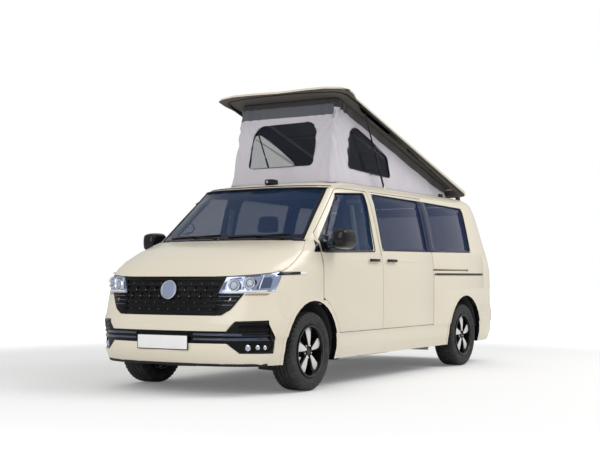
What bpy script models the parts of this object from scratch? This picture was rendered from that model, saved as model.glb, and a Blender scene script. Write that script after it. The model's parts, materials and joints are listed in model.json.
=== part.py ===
"""Camper van with a raised pop-top roof.

x points to the vehicle's left, y to its rear and z up, in metres.
The origin lies on the ground, midway between the nose and the tail.
A place along the vehicle is given as its distance behind the nose.
Outlines are tables of shares of a frame: a stretch along or across the van, and a
stretch of heights. The function spread turns such a table into points.
"""
import math

import bmesh
import bpy
from mathutils import Matrix, Vector

# Overall sizes
LENGTH = 5.304
HALF_WIDTH = 0.952
ROOF_HEIGHT = 1.908
SILL_HEIGHT = 0.254
FRONT_OVERHANG = 0.909
WHEELBASE = 3.400
HALF_TRACK = 0.814

# Clearances
SEAT_GAP = 0.0003
SHUT_GAP = 0.005
OVERRUN = 0.040
FLAT_ANGLE = 0.05
MERGE_DISTANCE = 0.00005

# Walls
WALL = 0.050
SKIN = 0.020
BONNET_WALL = 0.022
BUMPER_WALL = 0.030
LAMP_WALL = 0.060
GLASS_WALL = 0.005
GLASS_SET = 0.006
INSERT_SET = 0.012

# Roundness: facets of a full turn, and of a corner
ROUND_STEPS = 32
SMALL_STEPS = 16
CORNER_STEPS = 3
NOSE_STEPS = 6
TAIL_STEPS = 4

# Body places behind the nose
WINDSCREEN_HEAD = 1.500
TAIL_LEAN = 0.404
WING_FRONT = 0.200
WING_END = 1.087
DOOR_REAR = 2.252
SLIDER_REAR = 3.445
LAMP_REAR = 0.492
LAMP_TIP = 0.012
BUMPER_END = 0.420
BUMPER_HEEL = 0.600
BONNET_REAR = 1.005
COWL_GAP = 0.025
COWL_LIP = 0.010
SCUTTLE_REACH = 0.060
SCUTTLE_SET = 0.030
SCUTTLE_WALL = 0.014
SCUTTLE_MARGIN = 0.015
SCUTTLE_FOOT = 1.240
PILLAR_FRONT = 0.700
NOSE_DEPTH = 0.360
HEADER_REAR = 1.800
REAR_HEADER = 4.800
ROOF_END = 5.011
GATE_START = 4.925
GATE_GAP = 0.007
TAIL_LAMP_START = 4.860
REAR_BUMPER_START = 4.790

# Body heights
BONNET_LIP = 0.995
BONNET_HEEL = 1.325
WING_FOOT = 0.500
BUMPER_SHOULDER = 0.600
BUMPER_HEAD = 0.868
LAMP_FOOT = 0.850
LAMP_HEAD = 1.080
GRILLE_FOOT = 0.668
GRILLE_HEAD = 1.020
INTAKE_FOOT = 0.354
INTAKE_HEAD = 0.631
ROOF_SEAM = 1.840
DOOR_HEAD = 1.825
DOOR_FOOT = 0.490
BELT = 1.243
GATE_BELT = 1.270
GATE_HEAD = 1.830
TAIL_LAMP_FOOT = 0.860
TAIL_LAMP_HEAD = 1.250
REAR_BUMPER_TOP = 0.555
FLOOR_START = 0.470
FLOOR_FOOT = 0.300
FLOOR_TOP = 0.400
PAD_X = 0.750
PAD_PLACES = (1.600, 3.650)
PAD_HALF_WIDTH = 0.040
PAD_HALF_LENGTH = 0.060
PAD_FOOT = 0.285

# Half widths of the openings at the two ends
SCREEN_HALF_WIDTH = 0.790
SCREEN_HEAD_HALF_WIDTH = 0.695
GATE_HALF_WIDTH = 0.800
GATE_BELT_HALF_WIDTH = 0.795
GATE_HEAD_HALF_WIDTH = 0.700

# Grille: slots between bars, and a plain disc on the centre line
GRILLE_SLOTS = 6
GRILLE_BAR = 0.018
GRILLE_BORDER = 0.034
SLOT_DEPTH = 0.012
DISC_HEIGHT = 0.883
DISC_RADIUS = 0.087
DISC_RISE = 0.008
DISC_DEPTH = 0.030

# Lower intake: slots, and a lamp in each end
INTAKE_SLOTS = 2
INTAKE_BAR = 0.016
INTAKE_BAND_FOOT = 0.452
INTAKE_BAND_HEAD = 0.542
INTAKE_BAND_HALF_WIDTH = 0.560
VANE_SLOTS = 3
VANE_INNER = 0.690
VANE_OUTER = 0.880
VANE_FOOT = 0.480
VANE_HEAD = 0.605
FOG_X = 0.790
FOG_HEIGHT = 0.415
FOG_RADIUS = 0.036

# Headlamp bowls: distance from the centre line, height and radius
LAMP_BOWLS = ((0.615, 0.922, 0.044), (0.735, 0.942, 0.042))
BOWL_DEPTH = 0.034
BOWL_FLOOR_SHARE = 0.4

# Door corners, windows and handles
WINDOW_RADIUS = 0.035
DOOR_SLANT = 0.27
DOOR_DEPTH = 0.300
HANDLE_HEIGHT = 1.150
HANDLE_HALF_HEIGHT = 0.013
HANDLE_RISE = 0.022
DOOR_HANDLE = (1.964, 2.161)
SLIDER_HANDLE = (2.334, 2.537)
RAIL_HEIGHT = 1.065
RAIL_HALF_HEIGHT = 0.012
RAIL_DEPTH = 0.014
RAIL_REAR = 4.389
CARRIER_HEIGHTS = (0.560, RAIL_HEIGHT)
CARRIER_REACH = 0.060
CARRIER_HALF_HEIGHT = 0.040
CARRIER_WALL = 0.015

# Tailgate's plate recess
RECESS_HALF_WIDTH = 0.280
RECESS_FOOT = 0.860
RECESS_HEAD = 1.020
RECESS_DEPTH = 0.012

# Wheels and arches
TYRE_RADIUS = 0.345
TYRE_WIDTH = 0.235
TYRE_STEPS = 28
RIM_RADIUS = 0.218
RIM_WALL = 0.012
RIM_LIP = 0.008
RIM_FLANGE = 0.011
RIM_SHELF = 0.028
HUB_RADIUS = 0.070
HUB_SPIGOT = 0.056
HUB_OFFSET = 0.045
HUB_DEPTH = 0.030
SPOKES = 5
SPOKE_SET = 0.005
SPOKE_DEPTH = 0.032
SPOKE_ROOT_SHARE = 0.7
ARCH_RADIUS = 0.440
ARCH_LIP = 0.060
FLARE_WIDTH = 0.026
FLARE_RISE = 0.009
LINER_WALL = 0.020
FRONT_WELL = 0.470
REAR_WELL = 0.600

# Steering knuckle, its strut and the front arms
KINGPIN_OFFSET = 0.740
KNUCKLE_INNER = 0.700
KNUCKLE_OUTER = 0.765
KNUCKLE_HALF_DEPTH = 0.035
KNUCKLE_FOOT = 0.215
KNUCKLE_HEAD = 0.430
KINGPIN_RADIUS = 0.022
STRUT_ARM_INNER = 0.615
STRUT_ARM_HALF_DEPTH = 0.025
STRUT_ARM_FOOT = 0.300
STRUT_ARM_HEAD = 0.370
SPRING_STRUT_X = 0.640
SPRING_STRUT_RADIUS = 0.024
SPRING_STRUT_HEAD = 0.770
ARM_FOOT = 0.160
ARM_HEAD = 0.190
SUBFRAME_FRONT = 0.960
SUBFRAME_REAR = 1.100
SUBFRAME_FOOT = 0.200
SUBFRAME_HALF_WIDTH = 0.420
SUBFRAME_LUG_INNER = 0.340
SUBFRAME_LUG_OUTER = 0.400
SUMP_FRONT = 0.700
SUMP_HALF_WIDTH = 0.300
SUMP_LAP = 0.010
SUMP_FOOT = 0.210
SUMP_HEAD = 0.260

# Rear axle
AXLE_RADIUS = 0.035
AXLE_LEAD = 0.200
AXLE_HEIGHT = 0.250
AXLE_HALF_WIDTH = 0.680
TRAIL_INNER = 0.625
TRAIL_OUTER = 0.675
TRAIL_FOOT = 0.230
TRAIL_HEAD = 0.390
TRAIL_TAIL = 0.040
BRACKET_INNER = 0.380
BRACKET_OUTER = 0.440
BRACKET_HALF_DEPTH = 0.040

# Tank and exhaust below the floor
TANK_SPAN = (-0.600, -0.120)
TANK_STRETCH = (1.750, 2.600)
TANK_FOOT = 0.180
TANK_RADIUS = 0.040
SILENCER_SPAN = (0.100, 0.480)
SILENCER_STRETCH = (2.650, 3.350)
SILENCER_FOOT = 0.185
PIPE_RADIUS = 0.025
PIPE_HEIGHT = 0.240
PIPE_START = 1.160
PIPE_X = 0.250
TAIL_PIPE_X = 0.860
TAIL_PIPE_PLACE = 3.480

# Firewall, with the pillars that carry the door and bonnet hinges
FIREWALL_PLACE = 0.980
FIREWALL_WALL = 0.020
FIREWALL_HEAD = 1.215
PILLAR_INNER = 0.800
PILLAR_OUTER = 0.828
PILLAR_FOOT = 0.700
PILLAR_HEAD = 1.222
DOOR_HINGE = 1.116
DOOR_HINGE_X = 0.930
DOOR_SWING_RADIUS = 0.0400
DOOR_SWING_FOOT = 0.785
DOOR_HINGE_HEIGHTS = (0.900, 1.120)
LUG_RADIUS = 0.008
LUG_HEIGHT = 0.030
LUG_ROOT = 0.010
NOTCH_REACH = 0.100
NOTCH_FRONT = 0.060
NOTCH_CLEARANCE = 0.004
BONNET_HINGE = 1.070
BONNET_HINGE_HEIGHT = 1.300
BONNET_ARM_INNER = 0.787
BONNET_ARM_STRETCH = (0.880, 1.078)
BONNET_ARM_HEIGHTS = (1.240, 1.309)
PLATE = 0.006
PLATE_REACH = 0.012
PLATE_FOOT = 1.200

# Tailgate hinge
GATE_HINGE = 5.005
GATE_HINGE_HEIGHT = 1.800
GATE_EDGE_RADIUS = 0.030
GATE_LUG_X = 0.450
GATE_LUG_HALF_WIDTH = 0.015
GATE_LUG_REACH = 0.055
GATE_LUG_WEB = 0.016
GATE_LUG_HEAD = 1.850
GATE_POCKET = 0.100

# Pop-top roof
POP_HINGE = 4.900
POP_HINGE_HEIGHT = 1.935
POP_UNDERSIDE = 1.950
POP_ANGLE = 15.6
POP_FRONT = 1.712
POP_REAR = 4.975
POP_HALF_WIDTH = 0.735
POP_WALL = 0.045
POP_NOSE_BOW = 0.300
POP_TAIL_BOW = 0.160
POP_RECESS = 0.012
POP_RECESS_HALF_WIDTH = 0.635
POP_RECESS_MARGIN = 0.080
GROOVE_INNER = 0.642
GROOVE_OUTER = 0.686
GROOVE_DEPTH = 0.018
POP_LUG_X = 0.4500
POP_LUG_WIDTH = 0.010
POP_LUG_REACH = 0.012
POP_LUG_DROP = 0.010
ROOF_LUG_REACH = 0.008
ROOF_LUG_RISE = 0.009
LUG_SINK = 0.028

# Canvas
CANVAS_WALL = 0.004
CANVAS_FRONT = 1.867
CANVAS_REAR = 4.620
CANVAS_TOP_FRONT = 2.045
CANVAS_HALF_WIDTH = 0.598
CANVAS_TOP_HALF_WIDTH = 0.570
APERTURE_HALF_WIDTH = 0.520
APERTURE_FRONT = 1.980
APERTURE_REAR = 4.200

# Gas struts of the roof
STRUT_FOOT = 2.846
STRUT_FOOT_HEIGHT = 1.925
STRUT_X = 0.660
STRUT_EYE_HALF_WIDTH = 0.010
STRUT_PLATE = 0.006
STRUT_PLATE_REACH = 0.012
STRUT_PLATE_RISE = 0.010
STRUT_HEAD_ARM = 2.562
STRUT_HEAD_RISE = 0.010
STRUT_CYLINDER = 0.400
STRUT_ROD = 0.475
STRUT_RADIUS = 0.010
STRUT_EYE_RADIUS = 0.009
ROD_RADIUS = 0.005
ROD_EYE_RADIUS = 0.008
ROD_CLEARANCE = 0.0005
BORE_START = 0.020

# Cabin
DASH_FRONT = 0.880
DASH_REAR = 1.330
DASH_FOOT = 0.880
DASH_HEAD = 1.285
DASH_HALF_WIDTH = 0.775
STEER_X = -0.400
STEER_PLACE = 1.500
STEER_HEIGHT = 1.130
STEER_LEAN = 62
STEER_RADIUS = 0.185
STEER_GRIP = 0.015
STEER_BOSS = 0.060
STEER_BOSS_DEPTH = 0.050
STEER_SPOKE_HALF_WIDTH = 0.020
STEER_SPOKE_HALF_DEPTH = 0.006
STEER_COLUMN = 0.030
STEER_COLUMN_LENGTH = 0.300
SEAT_X = 0.400
SEAT_HALF_WIDTH = 0.240
SEAT_FRONT = 1.620
SEAT_REAR = 2.360
SEAT_FOOT = 0.620
SEAT_HEAD = 1.640
PEDESTAL_HALF_WIDTH = 0.180
PEDESTAL_STRETCH = (1.700, 2.060)
PEDESTAL_HEAD = 0.650
HEADREST_HALF_WIDTH = 0.130
HEADREST_POST_HALF_WIDTH = 0.080
HEADREST_POST = (2.262, 2.286)
HEADREST_POST_STRETCH = (1.380, 1.480)
PAD_RADIUS = 0.030
BENCH_SPAN = (-0.380, 0.560)
BENCH_FRONT = 3.300
BENCH_REAR = 4.080
BENCH_FOOT = 0.600
BENCH_HEAD = 1.330
BENCH_BASE_INSET = 0.020
BENCH_BASE_STRETCH = (3.360, 3.840)
BENCH_BASE_HEAD = 0.640
GALLEY_SPAN = (-0.860, -0.460)
GALLEY_STRETCH = (2.620, 3.800)
GALLEY_HEAD = 1.150
GALLEY_RADIUS = 0.012
ENGINE_HALF_WIDTH = 0.400
ENGINE_STRETCH = (0.360, 0.860)
ENGINE_HEAD = 0.900
ENGINE_RADIUS = 0.030

# Mirrors
MIRROR_SPAN = (1.000, 1.1485)
MIRROR_STRETCH = (1.185, 1.300)
MIRROR_HEIGHTS = (1.245, 1.420)
MIRROR_RADIUS = 0.034
MIRROR_ARM_STRETCH = (1.205, 1.265)
MIRROR_ARM_HEIGHTS = (1.262, 1.285)
MIRROR_ARM_INNER = 0.880
MIRROR_BASE_STRETCH = (1.150, 1.275)
MIRROR_BASE_HEIGHTS = (1.232, 1.290)
MIRROR_BASE_INNER = 0.800
MIRROR_BASE_RISE = 0.004

# Body sections from the foot up: height as a share of ROOF_HEIGHT, half width as a share
# of HALF_WIDTH, nose as a share of WINDSCREEN_HEAD, bow of the nose as a share of
# HALF_WIDTH, its squareness, and the tail's lean as a share of TAIL_LEAN
SECTION_SHARES = (
    (0.133, 0.951, 0.050, 0.525, 2.6, 0.110),
    (0.189, 0.974, 0.009, 0.578, 2.6, 0.000),
    (0.245, 0.982, 0.004, 0.588, 2.6, 0.000),
    (0.254, 0.992, 0.003, 0.588, 2.6, 0.000),
    (0.314, 0.996, 0.000, 0.609, 2.7, 0.022),
    (0.349, 0.998, 0.033, 0.630, 2.8, 0.121),
    (0.451, 1.000, 0.057, 0.693, 2.9, 0.134),
    (0.519, 1.000, 0.073, 0.756, 3.0, 0.158),
    (0.556, 1.000, 0.107, 0.819, 3.0, 0.183),
    (0.592, 0.993, 0.167, 0.893, 3.0, 0.220),
    (0.639, 0.979, 0.307, 0.819, 3.0, 0.270),
    (0.697, 0.954, 0.553, 0.630, 3.0, 0.356),
    (0.786, 0.919, 0.682, 0.651, 3.0, 0.468),
    (0.891, 0.871, 0.833, 0.693, 3.0, 0.592),
    (0.954, 0.825, 0.927, 0.630, 3.0, 0.666),
    (0.976, 0.793, 1.000, 0.609, 3.0, 0.728),
    (0.992, 0.735, 1.133, 0.525, 3.0, 0.827),
    (1.000, 0.672, 1.207, 0.300, 3.0, 1.000),
)
TAIL_BOW_SHARE = 0.300
TAIL_SQUARENESS = 4.0

# Side outlines: shares of a stretch along the van and of a stretch of heights
BONNET_SEAM_SHARES = ((0.139, 0.000), (0.488, 0.136), (0.657, 0.379), (0.826, 0.667),
                      (0.935, 0.879), (1.000, 1.000))
LAMP_SIDE_SHARES = ((0.244, 0.026), (0.783, 0.087), (1.000, 0.826), (1.000, 0.957))
DOOR_HEAD_SHARES = ((0.000, 0.670), (0.433, 0.990), (0.490, 1.000), (1.000, 1.000))
DOOR_WINDOW_SHARES = ((0.026, -0.038), (0.872, 0.000), (0.905, 0.957), (0.479, 0.914),
                      (0.026, 0.132))
SLIDER_WINDOW_SHARES = ((0.040, 0.014), (0.950, 0.033), (0.950, 0.943), (0.049, 0.962))
QUARTER_WINDOW_SHARES = ((0.030, 0.036), (0.580, 0.057), (0.582, 0.909), (0.030, 0.940))
DASH_SHARES = ((0.822, 0.000), (1.000, 0.420), (0.933, 0.765), (0.756, 0.914), (0.044, 1.000))
BONNET_ARM_SHARES = ((1.000, 0.971), (0.929, 1.000), (0.640, 0.150), (0.252, 0.870),
                     (0.000, 0.652), (0.101, 0.000), (0.636, 0.000), (1.000, 0.768))
SEAT_PAD_SHARES = ((0.000, 0.020), (0.676, 0.000), (0.676, 0.137), (0.000, 0.167))
SEAT_BACK_SHARES = ((0.541, 0.039), (0.716, 0.039), (0.959, 0.765), (0.824, 0.784))
HEADREST_SHARES = ((0.811, 0.804), (0.946, 0.794), (1.000, 0.990), (0.878, 1.000))
BENCH_PAD_SHARES = ((0.000, 0.027), (0.718, 0.000), (0.718, 0.219), (0.000, 0.247))
BENCH_BACK_SHARES = ((0.590, 0.055), (0.769, 0.055), (1.000, 0.959), (0.872, 1.000))

# Front outlines, left half: shares of HALF_WIDTH and of a stretch of heights
LAMP_FRONT_SHARES = ((0.509, 0.000), (1.042, 0.000), (1.042, 1.000), (0.620, 1.000),
                     (0.572, 0.587))
GRILLE_SHARES = ((0.509, 0.000), (0.651, 0.503), (0.525, 0.523), (0.588, 1.000))
INTAKE_SHARES = ((0.625, 0.679), (0.692, 0.975), (0.921, 1.000), (0.967, 0.321),
                 (0.943, 0.000), (0.724, 0.014), (0.621, 0.307))
TAIL_WINDOW_SHARES = ((0.693, 0.000), (0.620, 0.839))

# Turned profiles: tyre as shares of half its width and of its height above the rim
TYRE_SHARES = ((-0.86, 0.0), (-0.86, 0.10), (-1.0, 0.40), (-0.97, 0.70), (-0.84, 0.94),
               (-0.50, 1.0), (-0.06, 1.0), (0.0, 0.94), (0.06, 1.0), (0.50, 1.0),
               (0.84, 0.94), (0.97, 0.70), (1.0, 0.40), (0.86, 0.10), (0.86, 0.0))
BEAD_SHARE = 0.86
SHELF_SHARE = 0.81

# Spoke petal: shares of the rim's radius, outwards and half across
PETAL_SHARES = ((0.230, 0.073), (0.550, 0.156), (0.757, 0.239), (0.958, 0.229))

# Front arm in plan: distance from the centre line as a share of HALF_TRACK, and place as
# a share of the stretch from the wheel's centre to the subframe's rear edge
ARM_SHARES = ((0.442, 0.319), (0.442, 0.860), (0.760, 0.190), (0.940, 0.110), (0.940, -0.110),
              (0.760, -0.130))

# Pop-top panel rings: height share of POP_WALL and inset as a share of it
POP_RING_SHARES = ((0.0, 0.222), (0.25, 0.0), (0.70, 0.400), (1.0, 2.000))


# Places worked out from the sizes

LIMIT = HALF_WIDTH + OVERRUN
DOOR_FRONT = WING_END + SHUT_GAP
ARCH_PLACES = (FRONT_OVERHANG, FRONT_OVERHANG + WHEELBASE)
WELLS = (FRONT_WELL, REAR_WELL)
WING_INNER = PILLAR_INNER + 2 * PLATE
SCREEN_FOOT = BONNET_HEEL + SHUT_GAP + SEAT_GAP
WING_TOP = BONNET_HEEL - SHUT_GAP / 2
GATE_FOOT = REAR_BUMPER_TOP + SHUT_GAP
SIDES = (("left", 1), ("right", -1))


def along(place):
    """World y of a place behind the nose."""
    return place - LENGTH / 2


def spread(shares, stretch, heights):
    """An outline's points from its shares of a stretch and of a stretch of heights."""
    low, high = stretch
    foot, head = heights
    return [(low + a * (high - low), foot + b * (head - foot)) for a, b in shares]


def both_sides(half):
    """A front-view outline from its left half."""
    return list(half) + [(-x, z) for x, z in reversed(half)]


def span(side, inner, outer):
    """A stretch across the van on one side, from its inner and outer distance."""
    return tuple(sorted((side * inner, side * outer)))


def around(middle, reach):
    return (middle - reach, middle + reach)


# Meshes


def add_object(name, mesh):
    obj = bpy.data.objects.new(name, mesh)
    bpy.context.scene.collection.objects.link(obj)
    return obj


def from_bmesh(name, bm):
    bmesh.ops.recalc_face_normals(bm, faces=bm.faces)
    bmesh.ops.triangulate(bm, faces=bm.faces)
    mesh = bpy.data.meshes.new(name)
    bm.to_mesh(mesh)
    bm.free()
    return add_object(name, mesh)


def evaluated_mesh(obj):
    graph = bpy.context.evaluated_depsgraph_get()
    return bpy.data.meshes.new_from_object(obj.evaluated_get(graph))


def apply_modifiers(obj):
    mesh = evaluated_mesh(obj)
    obj.modifiers.clear()
    obj.data = mesh
    return obj


def loft(name, rings):
    """A closed skin through rings of equal count, capped at both ends."""
    bm = bmesh.new()
    loops = [[bm.verts.new(point) for point in ring] for ring in rings]
    count = len(loops[0])
    for low, high in zip(loops, loops[1:]):
        for i in range(count):
            j = (i + 1) % count
            bm.faces.new((low[i], low[j], high[j], high[i]))
    bm.faces.new(loops[0])
    bm.faces.new(loops[-1])
    return from_bmesh(name, bm)


def extruded(points, shift):
    """A flat outline in space, pushed along a shift into a solid."""
    bm = bmesh.new()
    face = bm.faces.new([bm.verts.new(point) for point in points])
    pushed = bmesh.ops.extrude_face_region(bm, geom=[face], use_keep_orig=True)
    moved = [item for item in pushed["geom"] if isinstance(item, bmesh.types.BMVert)]
    bmesh.ops.translate(bm, vec=shift, verts=moved)
    return from_bmesh("block", bm)


def side_prism(outline, xs):
    """A side-view outline (place, height) swept across the vehicle."""
    low, high = xs
    return extruded([(low, along(s), z) for s, z in outline], (high - low, 0, 0))


def front_prism(outline, places):
    """A front-view outline (x, height) swept along the vehicle."""
    low, high = places
    return extruded([(x, along(low), z) for x, z in outline], (0, high - low, 0))


def plan_prism(outline, heights):
    """A plan-view outline (x, place) swept upwards."""
    low, high = heights
    return extruded([(x, along(s), low) for x, s in outline], (0, 0, high - low))


def box(xs, places, heights):
    """A cube primitive stretched over three ranges."""
    ranges = (xs, (along(places[0]), along(places[1])), heights)
    middle = Vector([(low + high) / 2 for low, high in ranges])
    sizes = [high - low for low, high in ranges]
    bm = bmesh.new()
    bmesh.ops.create_cube(bm, size=1, matrix=Matrix.Translation(middle) @ Matrix.Diagonal((*sizes, 1)))
    return from_bmesh("block", bm)


def bar(radius, start, end, steps=ROUND_STEPS, end_radius=None):
    """A cylinder or cone primitive between two points."""
    line = end - start
    turn = line.to_track_quat("Z", "Y").to_matrix().to_4x4()
    bm = bmesh.new()
    bmesh.ops.create_cone(bm, cap_ends=True, segments=steps, radius1=radius,
                          radius2=radius if end_radius is None else end_radius,
                          depth=line.length,
                          matrix=Matrix.Translation((start + end) / 2) @ turn)
    return from_bmesh("bar", bm)


def cross_cylinder(radius, place, height, xs, steps=ROUND_STEPS):
    """A cylinder whose axis runs across the vehicle."""
    return bar(radius, Vector((xs[0], along(place), height)), Vector((xs[1], along(place), height)),
               steps)


def upright_cylinder(radius, x, place, heights, steps=SMALL_STEPS):
    return bar(radius, Vector((x, along(place), heights[0])), Vector((x, along(place), heights[1])),
               steps)


def bevelled(obj, radius):
    """Round a solid's edges."""
    bevel = obj.modifiers.new("edges", "BEVEL")
    bevel.width = radius
    bevel.segments = CORNER_STEPS - 1
    bevel.limit_method = "ANGLE"
    obj.data.update()
    return apply_modifiers(dissolved(obj))


def dissolved(obj):
    """Merge a solid's coplanar triangles, so that a bevel sees its real edges."""
    bm = bmesh.new()
    bm.from_mesh(obj.data)
    bmesh.ops.dissolve_limit(bm, angle_limit=math.radians(FLAT_ANGLE), verts=bm.verts, edges=bm.edges)
    bm.to_mesh(obj.data)
    bm.free()
    return obj


def tube(points, radius):
    """A round pipe through points: a curve with a bevel and filled caps, made a mesh."""
    curve = bpy.data.curves.new("pipe", "CURVE")
    curve.dimensions = "3D"
    curve.bevel_depth = radius
    curve.bevel_resolution = 2
    curve.use_fill_caps = True
    line = curve.splines.new("POLY")
    line.points.add(len(points) - 1)
    for point, place in zip(line.points, points):
        point.co = (*place, 1)
    obj = add_object("pipe", curve)
    bm = bmesh.new()
    bm.from_mesh(evaluated_mesh(obj))
    bmesh.ops.remove_doubles(bm, verts=bm.verts, dist=MERGE_DISTANCE)
    bpy.data.objects.remove(obj)
    return from_bmesh("pipe", bm)


def revolved(profile, centre, steps):
    """A closed profile of (offset along x, radius) turned about a line along x."""
    bm = bmesh.new()
    verts = [bm.verts.new((offset, 0, radius)) for offset, radius in profile]
    for i in range(len(verts)):
        bm.edges.new((verts[i - 1], verts[i]))
    mesh = bpy.data.meshes.new("profile")
    bm.to_mesh(mesh)
    bm.free()
    obj = add_object("profile", mesh)
    screw = obj.modifiers.new("turn", "SCREW")
    screw.axis = "X"
    screw.steps = steps
    screw.render_steps = steps
    screw.use_merge_vertices = True
    screw.merge_threshold = MERGE_DISTANCE
    bm = bmesh.new()
    bm.from_mesh(evaluated_mesh(obj))
    bpy.data.objects.remove(obj)
    bmesh.ops.remove_doubles(bm, verts=bm.verts, dist=MERGE_DISTANCE)
    bmesh.ops.translate(bm, vec=centre, verts=bm.verts)
    return from_bmesh("turned", bm)


def grown(outline, distance):
    """The outline moved outwards by a distance, corners kept sharp."""
    if not distance:
        return list(outline)
    count = len(outline)
    area = sum(outline[i - 1][0] * outline[i][1] - outline[i][0] * outline[i - 1][1]
               for i in range(count))
    side = 1 if area > 0 else -1
    moved = []
    for i in range(count):
        before = Vector(outline[i - 1])
        here = Vector(outline[i])
        after = Vector(outline[(i + 1) % count])
        first = (here - before).normalized()
        second = (after - here).normalized()
        normal_a = Vector((first.y, -first.x)) * side
        normal_b = Vector((second.y, -second.x)) * side
        mean = (normal_a + normal_b).normalized()
        moved.append(tuple(here + mean * (distance / mean.dot(normal_a))))
    return moved


def rounded(outline, radius):
    """The outline with every corner turned into an arc."""
    count = len(outline)
    result = []
    for i in range(count):
        here = Vector(outline[i])
        to_before = (Vector(outline[i - 1]) - here).normalized()
        to_after = (Vector(outline[(i + 1) % count]) - here).normalized()
        half = to_before.angle(to_after) / 2
        centre = here + (to_before + to_after).normalized() * (radius / math.sin(half))
        start = here + to_before * (radius / math.tan(half)) - centre
        end = here + to_after * (radius / math.tan(half)) - centre
        for step in range(CORNER_STEPS + 1):
            spoke = start.lerp(end, step / CORNER_STEPS).normalized() * radius
            result.append(tuple(centre + spoke))
    return result


def combine(target, tool, operation):
    """Apply a Boolean with the tool object, which is used up."""
    step = target.modifiers.new("step", "BOOLEAN")
    step.operation = operation
    step.object = tool
    step.solver = "EXACT"
    apply_modifiers(target)
    bpy.data.objects.remove(tool)


def cut(target, *tools):
    for tool in tools:
        combine(target, tool, "DIFFERENCE")


def keep(target, tool):
    combine(target, tool, "INTERSECT")


def join(target, *tools):
    for tool in tools:
        combine(target, tool, "UNION")


# Materials and finished nodes

FINISHES = {
    "cream_paint": ((0.78, 0.73, 0.60), 0.28, 0.0),
    "roof_shell": ((0.78, 0.73, 0.60), 0.30, 0.0),
    "black_plastic": ((0.015, 0.015, 0.017), 0.5, 0.0),
    "gloss_black": ((0.01, 0.01, 0.012), 0.15, 0.0),
    "tinted_glass": ((0.03, 0.045, 0.075), 0.05, 0.0),
    "clear_lens": ((0.72, 0.78, 0.86), 0.08, 0.0),
    "red_lens": ((0.45, 0.01, 0.01), 0.15, 0.0),
    "tyre_rubber": ((0.035, 0.035, 0.037), 0.85, 0.0),
    "alloy": ((0.62, 0.62, 0.62), 0.3, 0.9),
    "canvas": ((0.66, 0.64, 0.69), 0.9, 0.0),
    "chassis_steel": ((0.06, 0.06, 0.065), 0.6, 0.6),
    "cast_metal": ((0.25, 0.25, 0.26), 0.55, 0.8),
    "seat_cloth": ((0.05, 0.06, 0.08), 0.9, 0.0),
    "trim_plastic": ((0.05, 0.055, 0.07), 0.7, 0.0),
    "cabinet_board": ((0.42, 0.42, 0.42), 0.5, 0.0),
    "bright_steel": ((0.6, 0.6, 0.62), 0.2, 1.0),
}


def finish_material(name):
    made = bpy.data.materials.get(name)
    if made:
        return made
    colour, roughness, metallic = FINISHES[name]
    made = bpy.data.materials.new(name)
    made.use_nodes = True
    shader = made.node_tree.nodes["Principled BSDF"]
    shader.inputs["Base Color"].default_value = (*colour, 1)
    shader.inputs["Roughness"].default_value = roughness
    shader.inputs["Metallic"].default_value = metallic
    return made


def faceted(mesh, merge):
    """Triangulate a mesh, coplanar faces merged first if asked, unless that opens it."""
    bm = bmesh.new()
    bm.from_mesh(mesh)
    if merge:
        bmesh.ops.dissolve_limit(bm, angle_limit=math.radians(FLAT_ANGLE), verts=bm.verts,
                                 edges=bm.edges)
    bmesh.ops.triangulate(bm, faces=bm.faces)
    closed = all(len(edge.link_faces) == 2 for edge in bm.edges)
    if closed or not merge:
        bm.to_mesh(mesh)
    bm.free()
    return closed


def node(obj, name, finish, pivot=None):
    """Name a finished piece, give it its finish, and put its origin on its joint's axis."""
    obj.name = name
    obj.data.name = name
    if not faceted(obj.data, True):
        faceted(obj.data, False)
    obj.data.materials.clear()
    obj.data.materials.append(finish_material(finish))
    for collection in list(obj.users_collection):
        collection.objects.unlink(obj)
    bpy.data.collections["camper_van"].objects.link(obj)
    if pivot is not None:
        obj.data.transform(Matrix.Translation(-pivot))
        obj.location = pivot
    return obj


# Body form


def section_at(height):
    """Half width, nose, bow, squareness and tail at a height, read between the sections."""
    share = height / ROOF_HEIGHT
    low, high = SECTION_SHARES[:2]
    for low, high in zip(SECTION_SHARES, SECTION_SHARES[1:]):
        if share <= high[0]:
            break
    t = min(max((share - low[0]) / (high[0] - low[0]), 0), 1)
    row = [a + (b - a) * t for a, b in zip(low, high)]
    return (row[1] * HALF_WIDTH, row[2] * WINDSCREEN_HEAD, row[3] * HALF_WIDTH, row[4],
            LENGTH - row[5] * TAIL_LEAN)


def plan_half(half_width, nose, tail, bows, squareness):
    """Half of a rounded plan outline (x, place), from the nose to the tail."""
    half = []
    for i in range(NOSE_STEPS + 1):
        turn = math.pi / 2 * i / NOSE_STEPS
        across = math.sin(turn) ** (2 / squareness[0])
        back = 1 - max(math.cos(turn), 0) ** (2 / squareness[0])
        half.append((half_width * across, nose + bows[0] * back))
    for i in range(TAIL_STEPS + 1):
        turn = math.pi / 2 * i / TAIL_STEPS
        across = max(math.cos(turn), 0) ** (2 / squareness[1])
        back = 1 - math.sin(turn) ** (2 / squareness[1])
        half.append((half_width * across, tail - bows[1] * back))
    return half


def closed_ring(half, height):
    """A ring of points in space from half of a plan outline."""
    other = [(-x, s) for x, s in reversed(half[1:-1])]
    return [(x, along(s), height) for x, s in half + other]


def body_ring(height, source_height, inset):
    half_width, nose, bow, squareness, tail = section_at(source_height)
    half = plan_half(half_width - inset, nose + inset, tail - inset,
                     (bow, TAIL_BOW_SHARE * HALF_WIDTH), (squareness, TAIL_SQUARENESS))
    return closed_ring(half, height)


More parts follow.
